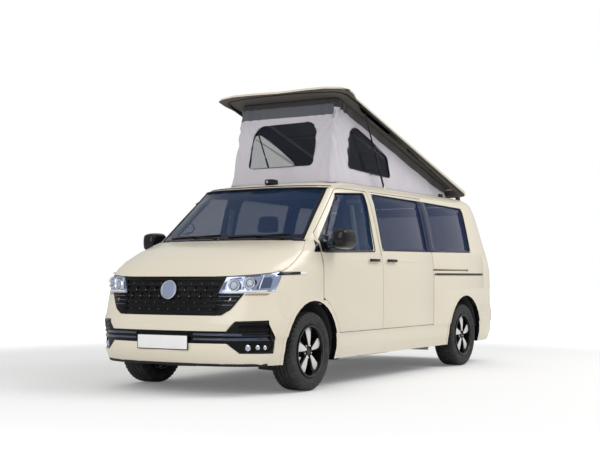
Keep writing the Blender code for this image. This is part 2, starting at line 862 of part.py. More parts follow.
def hull(inset, foot=SILL_HEIGHT):
    """The whole body form, drawn in by an inset, from a foot height up."""
    rings = [body_ring(foot, max(foot + inset, SILL_HEIGHT), inset)]
    for row in SECTION_SHARES:
        source = row[0] * ROOF_HEIGHT
        if source - inset > foot + SEAT_GAP:
            rings.append(body_ring(source - inset, source, inset))
    return loft("hull", rings)


def door_swing(side):
    """Room for the door's front edge as it turns in behind the wing."""
    return upright_cylinder(DOOR_SWING_RADIUS, side * DOOR_HINGE_X, DOOR_HINGE,
                            (DOOR_SWING_FOOT, PILLAR_HEAD))


def flares():
    """A raised lip round each wheel arch."""
    piece = hull(-FLARE_RISE)
    rings = arch_tool(ARCH_PLACES[0], ARCH_RADIUS + FLARE_WIDTH)
    join(rings, arch_tool(ARCH_PLACES[1], ARCH_RADIUS + FLARE_WIDTH))
    keep(piece, rings)
    return piece


SHELLS = {}


def shell(outer_inset, inner_inset):
    """The body's skin between two insets, open below. Each is worked out once."""
    key = (outer_inset, inner_inset)
    if key not in SHELLS:
        outer = hull(outer_inset)
        if not outer_inset:
            join(outer, flares())
        cut(outer, hull(inner_inset, SILL_HEIGHT - OVERRUN))
        SHELLS[key] = outer.data.copy()
        return outer
    return add_object("shell", SHELLS[key].copy())


def skin_tool(depth, surface_inset, tool):
    """What a tool reaches of the body's surface down to a depth."""
    keep(tool, shell(-OVERRUN, surface_inset + depth))
    return tool


def inner_form():
    return hull(WALL + SEAT_GAP)


# Outlines and cutters of the body


def full_side(outline, gap=0):
    return side_prism(grown(outline, gap), (-LIMIT, LIMIT))


def nose_tool(outline, gap=0):
    return front_prism(grown(outline, gap), (-OVERRUN, NOSE_DEPTH + gap))


def tail_tool(outline, gap=0, start=GATE_START):
    return front_prism(grown(outline, gap), (start - gap, LENGTH + OVERRUN))


def cowl_tool(inset):
    """Everything behind the windscreen's foot, as seen from above."""
    return loft("cowl", [body_ring(DOOR_FOOT, BONNET_HEEL, inset),
                         body_ring(ROOF_HEIGHT, BONNET_HEEL, inset)])


def arch_tool(place, radius=ARCH_RADIUS):
    return cross_cylinder(radius, place, TYRE_RADIUS, (-LIMIT, LIMIT))


def on_side(outline, side):
    return [(side * x, z) for x, z in outline]


def bonnet_outline():
    seam = spread(BONNET_SEAM_SHARES, (0, BONNET_REAR), (BONNET_LIP, BONNET_HEEL))
    return [(-OVERRUN, BONNET_LIP)] + seam + [(-OVERRUN, BONNET_HEEL)]


def lamp_tool(side, gap=0):
    """The headlamp's block: its inner edge in front view, its outer edge in side view."""
    heights = (LAMP_FOOT, LAMP_HEAD)
    front = on_side(spread(LAMP_FRONT_SHARES, (0, HALF_WIDTH), heights), side)
    flank = spread(LAMP_SIDE_SHARES, (0, LAMP_REAR), heights)
    flank = [(-OVERRUN, LAMP_FOOT)] + flank + [(-OVERRUN, flank[-1][1])]
    tool = front_prism(grown(front, gap), (-2 * OVERRUN, LAMP_REAR + OVERRUN))
    keep(tool, full_side(flank, gap))
    if not gap:
        cut(tool, box((-LIMIT, LIMIT), (LAMP_REAR - LAMP_TIP, LENGTH), (0, ROOF_HEIGHT)))
    return tool


def grille_outline():
    return both_sides(spread(GRILLE_SHARES, (0, HALF_WIDTH), (GRILLE_FOOT, GRILLE_HEAD)))


def intake_outline():
    return both_sides(spread(INTAKE_SHARES, (0, HALF_WIDTH), (INTAKE_FOOT, INTAKE_HEAD)))


def bumper_outline():
    foot = SILL_HEIGHT - OVERRUN
    return [(-OVERRUN, foot), (BUMPER_HEEL, foot), (BUMPER_HEEL, BUMPER_SHOULDER),
            (BUMPER_END, BUMPER_SHOULDER + ARCH_LIP), (BUMPER_END, BUMPER_HEAD),
            (-OVERRUN, BUMPER_HEAD)]


def door_outline():
    """The front door: its lower front corner is an arc that clears the wheel arch."""
    guard = ARCH_RADIUS + ARCH_LIP
    low = math.asin((DOOR_FOOT - TYRE_RADIUS) / guard)
    high = math.acos((DOOR_FRONT - FRONT_OVERHANG) / guard)
    arc = []
    for i in range(2 * CORNER_STEPS + 1):
        turn = low + (high - low) * i / (2 * CORNER_STEPS)
        arc.append((FRONT_OVERHANG + guard * math.cos(turn), TYRE_RADIUS + guard * math.sin(turn)))
    head = spread(DOOR_HEAD_SHARES, (DOOR_FRONT, DOOR_REAR), (DOOR_FOOT, DOOR_HEAD))
    return arc + head + [(DOOR_REAR, DOOR_FOOT)]


def window_outline(shares, stretch):
    return rounded(spread(shares, stretch, (BELT, DOOR_HEAD)), WINDOW_RADIUS)


def door_window():
    return window_outline(DOOR_WINDOW_SHARES, (DOOR_FRONT, DOOR_REAR))


def slider_window():
    return window_outline(SLIDER_WINDOW_SHARES, (DOOR_REAR, SLIDER_REAR))


def quarter_window():
    return window_outline(QUARTER_WINDOW_SHARES, (SLIDER_REAR, LENGTH))


def slider_outline():
    front = DOOR_REAR + SHUT_GAP
    return [(front, DOOR_FOOT), (SLIDER_REAR, DOOR_FOOT), (SLIDER_REAR, DOOR_HEAD),
            (front, DOOR_HEAD)]


def rear_bumper_outline():
    foot = SILL_HEIGHT - OVERRUN
    return [(REAR_BUMPER_START, foot), (LENGTH + OVERRUN, foot),
            (LENGTH + OVERRUN, REAR_BUMPER_TOP), (REAR_BUMPER_START, REAR_BUMPER_TOP)]


def windscreen_outline():
    return both_sides([(SCREEN_HALF_WIDTH, SCREEN_FOOT), (SCREEN_HEAD_HALF_WIDTH, DOOR_HEAD)])


def screen_tool(gap=0):
    return front_prism(grown(windscreen_outline(), gap),
                       (-OVERRUN, WINDSCREEN_HEAD + SCREEN_HALF_WIDTH / 2))


def tailgate_outline():
    return both_sides([(GATE_HALF_WIDTH, GATE_FOOT), (GATE_BELT_HALF_WIDTH, GATE_BELT),
                       (GATE_HEAD_HALF_WIDTH, GATE_HEAD)])


def tail_window():
    half = spread(TAIL_WINDOW_SHARES, (0, HALF_WIDTH), (GATE_BELT, GATE_HEAD))
    return rounded(both_sides(half), WINDOW_RADIUS)


def tail_lamp_outline(side):
    inner = GATE_BELT_HALF_WIDTH
    return on_side([(inner, TAIL_LAMP_FOOT), (LIMIT, TAIL_LAMP_FOOT), (LIMIT, TAIL_LAMP_HEAD),
                    (inner, TAIL_LAMP_HEAD)], side)


def door_wedge(gap, side):
    """The front door's block: its front and rear edges close in towards the cabin."""
    inner_x = HALF_WIDTH - DOOR_DEPTH
    middle = (DOOR_FRONT + DOOR_REAR) / 2
    outer, inner = [], []
    for s, z in grown(door_outline(), gap):
        toward = 1 if s < middle else -1
        reach = DOOR_SLANT * OVERRUN * toward
        lean = DOOR_SLANT * (LIMIT - inner_x) * toward
        outer.append((side * LIMIT, along(s - reach), z))
        inner.append((side * inner_x, along(s - reach + lean), z))
    return loft("wedge", [inner, outer])


def header_box(half_width, places, foot):
    return box((-half_width, half_width), places, (foot, ROOF_HEIGHT + OVERRUN))


# Front of the body


def bonnet_arm(side):
    """The bonnet's half of its hinge, beside the pillar's plate."""
    outline = spread(BONNET_ARM_SHARES, BONNET_ARM_STRETCH, BONNET_ARM_HEIGHTS)
    return side_prism(outline, span(side, BONNET_ARM_INNER, PILLAR_INNER - SEAT_GAP))


def make_bonnet():
    piece = shell(0, BONNET_WALL)
    keep(piece, full_side(bonnet_outline()))
    cut(piece, cowl_tool(-COWL_GAP))
    join(piece, bonnet_arm(1), bonnet_arm(-1))
    return piece


def make_headlamp(side):
    """A lamp block with two round bowls sunk in its face."""
    piece = shell(SEAT_GAP, LAMP_WALL)
    keep(piece, lamp_tool(side))
    cut(piece, full_side(bonnet_outline(), SHUT_GAP))
    for x, height, radius in LAMP_BOWLS:
        start = Vector((side * x, along(-OVERRUN), height))
        tool = bar(radius, start, start + Vector((0, LENGTH / 4, 0)), SMALL_STEPS)
        cut(piece, skin_tool(BOWL_DEPTH, 0, tool))
    return piece


def grille_half_width(height):
    """Half width of the slotted field at a height, inside the grille's border."""
    points = spread(GRILLE_SHARES, (0, HALF_WIDTH), (GRILLE_FOOT, GRILLE_HEAD))
    (x0, z0), (x1, z1) = points[:2] if height < points[1][1] else points[2:]
    return x0 + (x1 - x0) * (height - z0) / (z1 - z0) - GRILLE_BORDER


def slot_tools(half_width, heights, count, bar_height, surface_inset):
    """Level slots of one depth between bars, following the nose."""
    foot, head = heights
    pitch = (head - foot + bar_height) / count
    tools = []
    for i in range(count):
        low = foot + pitch * i
        high = low + pitch - bar_height
        outline = both_sides([(half_width(low), low), (half_width(high), high)])
        tools.append(skin_tool(SLOT_DEPTH, surface_inset, front_prism(outline, (-OVERRUN, NOSE_DEPTH))))
    return tools


def nose_disc():
    """A plain disc on the grille, square to its slope."""
    low = section_at(DISC_HEIGHT - DISC_RADIUS)[1]
    high = section_at(DISC_HEIGHT + DISC_RADIUS)[1]
    lean = math.atan2(high - low, 2 * DISC_RADIUS)
    inward = Vector((0, math.cos(lean), -math.sin(lean)))
    face = Vector((0, along((low + high) / 2), DISC_HEIGHT)) - inward * DISC_RISE
    return bar(DISC_RADIUS, face, face + inward * DISC_DEPTH, ROUND_STEPS)


def make_grille():
    piece = shell(SEAT_GAP, BUMPER_WALL)
    keep(piece, nose_tool(grille_outline()))
    cut(piece, full_side(bonnet_outline(), SHUT_GAP))
    cut(piece, lamp_tool(1, SEAT_GAP), lamp_tool(-1, SEAT_GAP))
    heights = (GRILLE_FOOT + GRILLE_BORDER, BONNET_LIP - GRILLE_BORDER)
    cut(piece, *slot_tools(grille_half_width, heights, GRILLE_SLOTS, GRILLE_BAR, SEAT_GAP))
    join(piece, nose_disc())
    return piece


def make_intake():
    """The lower intake: slots in its middle, vanes and a lamp's well at each end."""
    piece = shell(INSERT_SET, INSERT_SET + BUMPER_WALL)
    keep(piece, nose_tool(intake_outline()))
    cut(piece, *slot_tools(lambda _: INTAKE_BAND_HALF_WIDTH,
                           (INTAKE_BAND_FOOT + INTAKE_BAR, INTAKE_BAND_HEAD - INTAKE_BAR),
                           INTAKE_SLOTS, INTAKE_BAR, INSERT_SET))
    pitch = (VANE_HEAD - VANE_FOOT) / VANE_SLOTS
    for side in (1, -1):
        for i in range(VANE_SLOTS):
            low = VANE_FOOT + pitch * i
            tool = box(span(side, VANE_INNER, VANE_OUTER), (-OVERRUN, NOSE_DEPTH),
                       (low, low + pitch - INTAKE_BAR))
            cut(piece, skin_tool(SLOT_DEPTH, INSERT_SET, tool))
        start = Vector((side * FOG_X, along(-OVERRUN), FOG_HEIGHT))
        tool = bar(FOG_RADIUS, start, start + Vector((0, NOSE_DEPTH, 0)), SMALL_STEPS)
        cut(piece, skin_tool(SLOT_DEPTH, INSERT_SET, tool))
    return piece


def make_front_bumper():
    piece = shell(0, BUMPER_WALL)
    keep(piece, full_side(bumper_outline()))
    cut(piece, lamp_tool(1, SEAT_GAP), lamp_tool(-1, SEAT_GAP))
    cut(piece, nose_tool(grille_outline(), SEAT_GAP), nose_tool(intake_outline(), SEAT_GAP))
    cut(piece, arch_tool(FRONT_OVERHANG))
    return piece


def make_wing(side):
    piece = shell(0, SKIN)
    keep(piece, box(span(side, WING_INNER, LIMIT), (WING_FRONT, WING_END), (WING_FOOT, WING_TOP)))
    cut(piece, full_side(bonnet_outline(), SHUT_GAP), full_side(bumper_outline(), SEAT_GAP))
    cut(piece, lamp_tool(side, SEAT_GAP), arch_tool(FRONT_OVERHANG), door_swing(side))
    return piece


def make_windscreen():
    piece = shell(GLASS_SET, GLASS_SET + GLASS_WALL)
    keep(piece, screen_tool())
    return piece


def make_scuttle():
    """The sunk panel between the bonnet and the windscreen, with a riser under the glass."""
    riser = shell(GLASS_SET, SCUTTLE_SET + SCUTTLE_WALL)
    keep(riser, cowl_tool(-COWL_LIP))
    piece = shell(SCUTTLE_SET, SCUTTLE_SET + SCUTTLE_WALL)
    join(piece, riser)
    keep(piece, cowl_tool(-SCUTTLE_REACH))
    keep(piece, box(around(0, SCREEN_HALF_WIDTH - SCUTTLE_MARGIN), (-OVERRUN, BONNET_HINGE),
                    (SCUTTLE_FOOT, SCREEN_FOOT - SEAT_GAP)))
    return piece


# Sides of the body


def handle(side, places):
    """A pull handle: a bar that stands a little proud of the skin."""
    low, high = places
    outline = [(low, HANDLE_HEIGHT - HANDLE_HALF_HEIGHT), (high, HANDLE_HEIGHT - HANDLE_HALF_HEIGHT),
               (high, HANDLE_HEIGHT + HANDLE_HALF_HEIGHT), (low, HANDLE_HEIGHT + HANDLE_HALF_HEIGHT)]
    piece = side_prism(rounded(outline, HANDLE_HALF_HEIGHT * 0.8),
                       span(side, HALF_WIDTH - WALL / 2, LIMIT))
    keep(piece, hull(-HANDLE_RISE))
    return piece


def make_door(side):
    piece = shell(0, WALL)
    keep(piece, door_wedge(0, side))
    cut(piece, full_side(door_window()))
    hinge_x = side * DOOR_HINGE_X
    reach = side * (LUG_RADIUS + SEAT_GAP)
    for height in DOOR_HINGE_HEIGHTS:
        xs = tuple(sorted((hinge_x - side * NOTCH_REACH, hinge_x + reach)))
        cut(piece, box(xs, (DOOR_HINGE - NOTCH_FRONT, DOOR_HINGE + LUG_RADIUS + NOTCH_CLEARANCE),
                       around(height, LUG_HEIGHT / 2 + SEAT_GAP)))
    join(piece, handle(side, DOOR_HANDLE))
    return piece


def slider_carrier(height):
    """A roller carrier inside the door's rear edge, bearing on the panel's inner face."""
    piece = box((0, LIMIT), around(SLIDER_REAR, CARRIER_REACH), around(height, CARRIER_HALF_HEIGHT))
    keep(piece, inner_form())
    inner = section_at(height)[0] - WALL
    cut(piece, box((-OVERRUN, inner - CARRIER_WALL), around(SLIDER_REAR, 2 * CARRIER_REACH),
                   around(height, 2 * CARRIER_HALF_HEIGHT)))
    foot = box((inner - CARRIER_WALL, inner + WALL / 2),
               (SLIDER_REAR - CARRIER_REACH, SLIDER_REAR - CARRIER_REACH / 3),
               around(height, CARRIER_HALF_HEIGHT / 2))
    join(piece, foot)
    return piece


def make_slider():
    piece = shell(0, WALL)
    keep(piece, side_prism(slider_outline(), (HALF_WIDTH / 2, LIMIT)))
    cut(piece, full_side(slider_window()))
    for height in CARRIER_HEIGHTS:
        join(piece, slider_carrier(height))
    join(piece, handle(1, SLIDER_HANDLE))
    return piece


def make_side_panel(side):
    """The body side, from the windscreen's pillar to the tailgate."""
    piece = shell(0, WALL)
    top = ROOF_SEAM - SEAT_GAP
    start = WING_END + SEAT_GAP
    step = WING_TOP + SEAT_GAP
    foot = SILL_HEIGHT - OVERRUN
    outline = [(start, foot), (start, step), (PILLAR_FRONT, step), (PILLAR_FRONT, top),
               (LENGTH + OVERRUN, top), (LENGTH + OVERRUN, foot)]
    keep(piece, side_prism(outline, span(side, APERTURE_HALF_WIDTH, LIMIT)))
    cut(piece, full_side(bonnet_outline(), SHUT_GAP), screen_tool(SEAT_GAP))
    cut(piece, box(around(0, SCREEN_HALF_WIDTH - SHUT_GAP), (-OVERRUN, DOOR_HINGE),
                   (WING_TOP, SCREEN_FOOT + SHUT_GAP)))
    cut(piece, door_wedge(SHUT_GAP, side), door_swing(side))
    if side > 0:
        cut(piece, side_prism(grown(slider_outline(), SHUT_GAP), (HALF_WIDTH / 2, LIMIT)))
        rail = box((HALF_WIDTH / 2, LIMIT), (SLIDER_REAR, RAIL_REAR),
                   around(RAIL_HEIGHT, RAIL_HALF_HEIGHT))
        cut(piece, skin_tool(RAIL_DEPTH, 0, rail))
    else:
        cut(piece, full_side(slider_window()))
    cut(piece, full_side(quarter_window()))
    cut(piece, arch_tool(ARCH_PLACES[0]), arch_tool(ARCH_PLACES[1]))
    cut(piece, full_side(rear_bumper_outline(), SEAT_GAP))
    cut(piece, tail_tool(tailgate_outline(), GATE_GAP))
    cut(piece, tail_tool(tail_lamp_outline(side), SEAT_GAP, TAIL_LAMP_START))
    cut(piece, header_box(GATE_HEAD_HALF_WIDTH, (REAR_HEADER, LENGTH), GATE_HINGE_HEIGHT))
    cut(piece, header_box(SCREEN_HEAD_HALF_WIDTH + SEAT_GAP, (-OVERRUN, HEADER_REAR + SEAT_GAP),
                          DOOR_HEAD))
    return piece


def make_side_glass(outline, side):
    piece = shell(GLASS_SET, GLASS_SET + GLASS_WALL)
    keep(piece, side_prism(grown(outline, -SEAT_GAP), span(side, HALF_WIDTH / 2, LIMIT)))
    return piece


# Roof frame and tail


def gate_lug(side):
    """A lug of the roof frame that carries the tailgate."""
    xs = span(side, GATE_LUG_X - GATE_LUG_HALF_WIDTH, GATE_LUG_X + GATE_LUG_HALF_WIDTH)
    root = GATE_HINGE - GATE_LUG_REACH
    piece = cross_cylinder(LUG_RADIUS, GATE_HINGE, GATE_HINGE_HEIGHT, xs, SMALL_STEPS)
    join(piece, box(xs, (root, GATE_HINGE), around(GATE_HINGE_HEIGHT, LUG_RADIUS)))
    join(piece, box(xs, (root, root + GATE_LUG_WEB), (GATE_HINGE_HEIGHT - LUG_RADIUS, GATE_LUG_HEAD)))
    return piece


def roof_lug(side):
    """The roof's half of the pop-top hinge, beside the panel's plate."""
    xs = span(side, POP_LUG_X - POP_LUG_WIDTH, POP_LUG_X)
    return box(xs, around(POP_HINGE, ROOF_LUG_REACH),
               (ROOF_HEIGHT - LUG_SINK, POP_HINGE_HEIGHT + ROOF_LUG_RISE))


def strut_plate_xs(side):
    inner = STRUT_X + STRUT_EYE_HALF_WIDTH + SEAT_GAP
    return span(side, inner, inner + STRUT_PLATE)


def strut_foot_plate(side):
    return box(strut_plate_xs(side), around(STRUT_FOOT, STRUT_PLATE_REACH),
               (ROOF_HEIGHT - LUG_SINK, STRUT_FOOT_HEIGHT + STRUT_PLATE_RISE))


def make_roof():
    """The fixed roof: headers over the screens, the hatch, and the hinge and strut lugs."""
    piece = shell(0, WALL)
    zone = box((-LIMIT, LIMIT), (-OVERRUN, ROOF_END), (ROOF_SEAM, ROOF_HEIGHT + OVERRUN))
    join(zone, header_box(SCREEN_HEAD_HALF_WIDTH, (-OVERRUN, HEADER_REAR), DOOR_HEAD + SEAT_GAP))
    join(zone, header_box(GATE_HEAD_HALF_WIDTH - SEAT_GAP, (REAR_HEADER, ROOF_END), GATE_HEAD + SHUT_GAP))
    keep(piece, zone)
    cut(piece, box((-APERTURE_HALF_WIDTH, APERTURE_HALF_WIDTH), (APERTURE_FRONT, APERTURE_REAR),
                   (ROOF_HEIGHT - 2 * WALL, ROOF_HEIGHT + OVERRUN)))
    for side in (1, -1):
        join(piece, gate_lug(side), roof_lug(side), strut_foot_plate(side))
    return piece


def trim_gate(piece):
    """Round the tailgate's top edge about its hinge and open its lug pockets."""
    edge = box((-LIMIT, LIMIT), around(GATE_HINGE, GATE_POCKET),
               (GATE_HINGE_HEIGHT, GATE_HINGE_HEIGHT + GATE_POCKET))
    cut(edge, cross_cylinder(GATE_EDGE_RADIUS, GATE_HINGE, GATE_HINGE_HEIGHT,
                             (-LIMIT - OVERRUN, LIMIT + OVERRUN)))
    cut(piece, edge)
    half = GATE_LUG_HALF_WIDTH + SEAT_GAP
    for side in (1, -1):
        cut(piece, box(span(side, GATE_LUG_X - half, GATE_LUG_X + half),
                       (GATE_HINGE - GATE_POCKET, GATE_HINGE + LUG_RADIUS + SEAT_GAP),
                       (GATE_HINGE_HEIGHT - LUG_RADIUS - SEAT_GAP, GATE_HINGE_HEIGHT + WALL)))


def make_tailgate():
    piece = shell(0, WALL)
    keep(piece, tail_tool(tailgate_outline(), start=GATE_START + SHUT_GAP / 2))
    cut(piece, tail_tool(tail_window()))
    recess = box((-RECESS_HALF_WIDTH, RECESS_HALF_WIDTH), (LENGTH - TAIL_LEAN, LENGTH + OVERRUN),
                 (RECESS_FOOT, RECESS_HEAD))
    cut(piece, skin_tool(RECESS_DEPTH, 0, recess))
    trim_gate(piece)
    return piece


def make_tail_glass():
    piece = shell(GLASS_SET, GLASS_SET + GLASS_WALL)
    keep(piece, tail_tool(grown(tail_window(), -SEAT_GAP)))
    return piece


def make_tail_lamp(side):
    piece = shell(SEAT_GAP, WALL)
    keep(piece, tail_tool(tail_lamp_outline(side), start=TAIL_LAMP_START))
    cut(piece, tail_tool(tailgate_outline(), GATE_GAP))
    return piece


def make_rear_bumper():
    piece = shell(0, BUMPER_WALL)
    keep(piece, full_side(rear_bumper_outline()))
    return piece


# Floor and firewall


def make_floor():
    """The floor slab with an arched, inboard-closed well over each wheel."""
    piece = box((-LIMIT, LIMIT), (FLOOR_START, LENGTH - 2 * WALL), (FLOOR_FOOT, FLOOR_TOP))
    middle = (FLOOR_FOOT + FLOOR_TOP) / 2
    for place, well in zip(ARCH_PLACES, WELLS):
        for side in (1, -1):
            arch = cross_cylinder(ARCH_RADIUS + LINER_WALL, place, TYRE_RADIUS,
                                  span(side, well - LINER_WALL, LIMIT + OVERRUN))
            cut(arch, box((-2 * LIMIT, 2 * LIMIT), around(place, 2 * ARCH_RADIUS),
                          (-TYRE_RADIUS, middle)))
            join(piece, arch)
    keep(piece, inner_form())
    for place, well in zip(ARCH_PLACES, WELLS):
        for side in (1, -1):
            cut(piece, cross_cylinder(ARCH_RADIUS, place, TYRE_RADIUS,
                                      span(side, well, LIMIT + OVERRUN)))
    for place in PAD_PLACES:
        for x in (PAD_X, -PAD_X):
            join(piece, box(around(x, PAD_HALF_WIDTH), around(place, PAD_HALF_LENGTH),
                            (PAD_FOOT, middle)))
    return piece


def hinge_lug(side, height):
    """A door hinge's arm and its rounded eye, standing out from the pillar."""
    heights = around(height, LUG_HEIGHT / 2)
    piece = box(span(side, PILLAR_OUTER - LUG_ROOT, DOOR_HINGE_X), around(DOOR_HINGE, LUG_RADIUS),
                heights)
    join(piece, upright_cylinder(LUG_RADIUS, side * DOOR_HINGE_X, DOOR_HINGE, heights))
    return piece


def make_firewall():
    piece = inner_form()
    keep(piece, box((-LIMIT, LIMIT), (FIREWALL_PLACE, FIREWALL_PLACE + FIREWALL_WALL),
                    (FLOOR_TOP + SEAT_GAP, FIREWALL_HEAD)))
    for side in (1, -1):
        join(piece, box(span(side, PILLAR_INNER, PILLAR_OUTER),
                        (FIREWALL_PLACE, DOOR_HINGE + LUG_RADIUS), (PILLAR_FOOT, PILLAR_HEAD)))
        for height in DOOR_HINGE_HEIGHTS:
            join(piece, hinge_lug(side, height))
        join(piece, box(span(side, PILLAR_INNER, PILLAR_INNER + PLATE),
                        around(BONNET_HINGE, PLATE_REACH),
                        (PLATE_FOOT, BONNET_HINGE_HEIGHT + PLATE_REACH)))
        cut(piece, cross_cylinder(ARCH_RADIUS + LINER_WALL + SEAT_GAP, FRONT_OVERHANG, TYRE_RADIUS,
                                  span(side, FRONT_WELL - LINER_WALL - SEAT_GAP, LIMIT)))
    return piece


# Wheels, knuckles and axles


def wheel_centre(place, side):
    return Vector((side * HALF_TRACK, along(place), TYRE_RADIUS))


def make_tyre(place, side):
    bead = RIM_RADIUS + SEAT_GAP
    profile = [(across * TYRE_WIDTH / 2, bead + (TYRE_RADIUS - bead) * up)
               for across, up in TYRE_SHARES]
    return revolved(profile, wheel_centre(place, side), TYRE_STEPS)


def make_rim(place, side):
    """Barrel, hub and petal spokes of a cast wheel."""
    bead = BEAD_SHARE * TYRE_WIDTH / 2 + SEAT_GAP
    lip = bead + RIM_LIP
    flange = RIM_RADIUS + RIM_FLANGE
    inner = RIM_RADIUS - RIM_WALL
    shelf = SHELF_SHARE * TYRE_WIDTH / 2
    barrel = [(-lip, flange), (-bead, flange), (-bead, RIM_RADIUS), (bead, RIM_RADIUS),
              (bead, flange), (lip, flange), (lip, inner + RIM_WALL / 2), (shelf, inner),
              (-lip, inner)]
    centre = wheel_centre(place, side)
    piece = revolved([(side * x, radius) for x, radius in barrel], centre, TYRE_STEPS)
    face = centre.x + side * HUB_OFFSET
    join(piece, cross_cylinder(HUB_RADIUS, place, TYRE_RADIUS,
                               tuple(sorted((face, face + side * HUB_DEPTH))), SMALL_STEPS))
    half = [(r * RIM_RADIUS, t * RIM_RADIUS) for r, t in PETAL_SHARES]
    petal = [(r, -t) for r, t in half] + [(r, t) for r, t in reversed(half)]
    xs = tuple(sorted((face + side * SPOKE_SET, face + side * (SPOKE_SET + SPOKE_DEPTH))))
    for i in range(SPOKES):
        turn = 2 * math.pi * (i + 1 / 4) / SPOKES
        outline = [(place + r * math.cos(turn) - t * math.sin(turn),
                    TYRE_RADIUS + r * math.sin(turn) + t * math.cos(turn)) for r, t in petal]
        join(piece, side_prism(outline, xs))
    return piece


def hub(place, side, start):
    xs = span(side, start, HALF_TRACK + HUB_OFFSET - SEAT_GAP)
    return cross_cylinder(HUB_SPIGOT, place, TYRE_RADIUS, xs, SMALL_STEPS)


def make_knuckle(side):
    """Knuckle on its kingpin, with the hub's spigot and the strut that turns with it."""
    place = FRONT_OVERHANG
    piece = hub(place, side, KNUCKLE_INNER)
    join(piece, box(span(side, KNUCKLE_INNER, KNUCKLE_OUTER), around(place, KNUCKLE_HALF_DEPTH),
                    (KNUCKLE_FOOT, KNUCKLE_HEAD)))
    join(piece, upright_cylinder(KINGPIN_RADIUS, side * KINGPIN_OFFSET, place,
                                 (ARM_HEAD + SEAT_GAP, KNUCKLE_FOOT + KINGPIN_RADIUS)))
    join(piece, box(span(side, STRUT_ARM_INNER, KNUCKLE_INNER + KINGPIN_RADIUS),
                    around(place, STRUT_ARM_HALF_DEPTH), (STRUT_ARM_FOOT, STRUT_ARM_HEAD)))
    join(piece, upright_cylinder(SPRING_STRUT_RADIUS, side * SPRING_STRUT_X, place,
                                 (STRUT_ARM_FOOT + KINGPIN_RADIUS / 2, SPRING_STRUT_HEAD)))
    return piece


def make_front_subframe():
    """Crossmember under the floor with an arm to each knuckle."""
    piece = box((-SUBFRAME_HALF_WIDTH, SUBFRAME_HALF_WIDTH), (SUBFRAME_FRONT, SUBFRAME_REAR),
                (SUBFRAME_FOOT, FLOOR_FOOT - SEAT_GAP))
    join(piece, box((-SUMP_HALF_WIDTH, SUMP_HALF_WIDTH), (SUMP_FRONT, SUBFRAME_FRONT + SUMP_LAP),
                    (SUMP_FOOT, SUMP_HEAD)))
    for side in (1, -1):
        arm = spread(ARM_SHARES, (0, side * HALF_TRACK), (FRONT_OVERHANG, SUBFRAME_REAR))
        join(piece, plan_prism(arm, (ARM_FOOT, ARM_HEAD)))
        join(piece, box(span(side, SUBFRAME_LUG_INNER, SUBFRAME_LUG_OUTER),
                        (SUBFRAME_FRONT + SHUT_GAP, SUBFRAME_REAR - SHUT_GAP),
                        (ARM_FOOT + ROD_RADIUS / 2, SUBFRAME_FOOT + WALL)))
    return piece


def make_rear_axle():
    """Crossbeam ahead of the wheels, with a trailing arm and hub at each end."""
    place = ARCH_PLACES[1]
    lead = place - AXLE_LEAD
    piece = cross_cylinder(AXLE_RADIUS, lead, AXLE_HEIGHT, (-AXLE_HALF_WIDTH, AXLE_HALF_WIDTH),
                           SMALL_STEPS)
    for side in (1, -1):
        join(piece, hub(place, side, TRAIL_INNER + SHUT_GAP))
        join(piece, box(span(side, TRAIL_INNER, TRAIL_OUTER),
                        (lead - AXLE_RADIUS / 2, place + TRAIL_TAIL), (TRAIL_FOOT, TRAIL_HEAD)))
        join(piece, box(span(side, BRACKET_INNER, BRACKET_OUTER), around(lead, BRACKET_HALF_DEPTH),
                        (AXLE_HEIGHT, FLOOR_FOOT - SEAT_GAP)))
    return piece


def make_engine():
    return bevelled(box((-ENGINE_HALF_WIDTH, ENGINE_HALF_WIDTH), ENGINE_STRETCH,
                        (FLOOR_TOP + SEAT_GAP, ENGINE_HEAD)), ENGINE_RADIUS)


def make_tank():
    return bevelled(box(TANK_SPAN, TANK_STRETCH, (TANK_FOOT, FLOOR_FOOT - SEAT_GAP)), TANK_RADIUS)


def make_exhaust():
    """Front pipe, silencer under the floor, and a tail pipe out to the left side."""
    piece = bevelled(box(SILENCER_SPAN, SILENCER_STRETCH, (SILENCER_FOOT, FLOOR_FOOT - SEAT_GAP)),
                     PIPE_RADIUS)
    lap = PIPE_RADIUS
    front = [(PIPE_X, along(PIPE_START), PIPE_HEIGHT),
             (PIPE_X, along(SILENCER_STRETCH[0] + lap), PIPE_HEIGHT)]
    rear = [(PIPE_X, along(SILENCER_STRETCH[1] - lap), PIPE_HEIGHT),
            (PIPE_X, along(SILENCER_STRETCH[1] + 2 * lap), PIPE_HEIGHT),
            (PIPE_X + 4 * lap, along(TAIL_PIPE_PLACE), PIPE_HEIGHT),
            (TAIL_PIPE_X, along(TAIL_PIPE_PLACE), PIPE_HEIGHT)]
    join(piece, tube(front, PIPE_RADIUS), tube(rear, PIPE_RADIUS))
    return piece


# Pop-top roof, shaped flat and then raised about its hinge


def raised(obj):
    pivot = Vector((0, along(POP_HINGE), POP_HINGE_HEIGHT))
    turn = Matrix.Rotation(-math.radians(POP_ANGLE), 4, "X")
    obj.data.transform(Matrix.Translation(pivot) @ turn @ Matrix.Translation(-pivot))
    return obj


def raised_point(place, height):
    """Place and height, once raised, of a point given with the panel flat."""
    turn = math.radians(POP_ANGLE)
    ahead, rise = place - POP_HINGE, height - POP_HINGE_HEIGHT
    return (POP_HINGE + ahead * math.cos(turn) + rise * math.sin(turn),
            POP_HINGE_HEIGHT - ahead * math.sin(turn) + rise * math.cos(turn))


def raised_plane(place, flat_height):
    """Height of the raised panel's plane above a place, the plane being flat at flat_height."""
    turn = math.radians(POP_ANGLE)
    rise = flat_height - POP_HINGE_HEIGHT
    return POP_HINGE_HEIGHT + rise / math.cos(turn) + (POP_HINGE - place) * math.tan(turn)


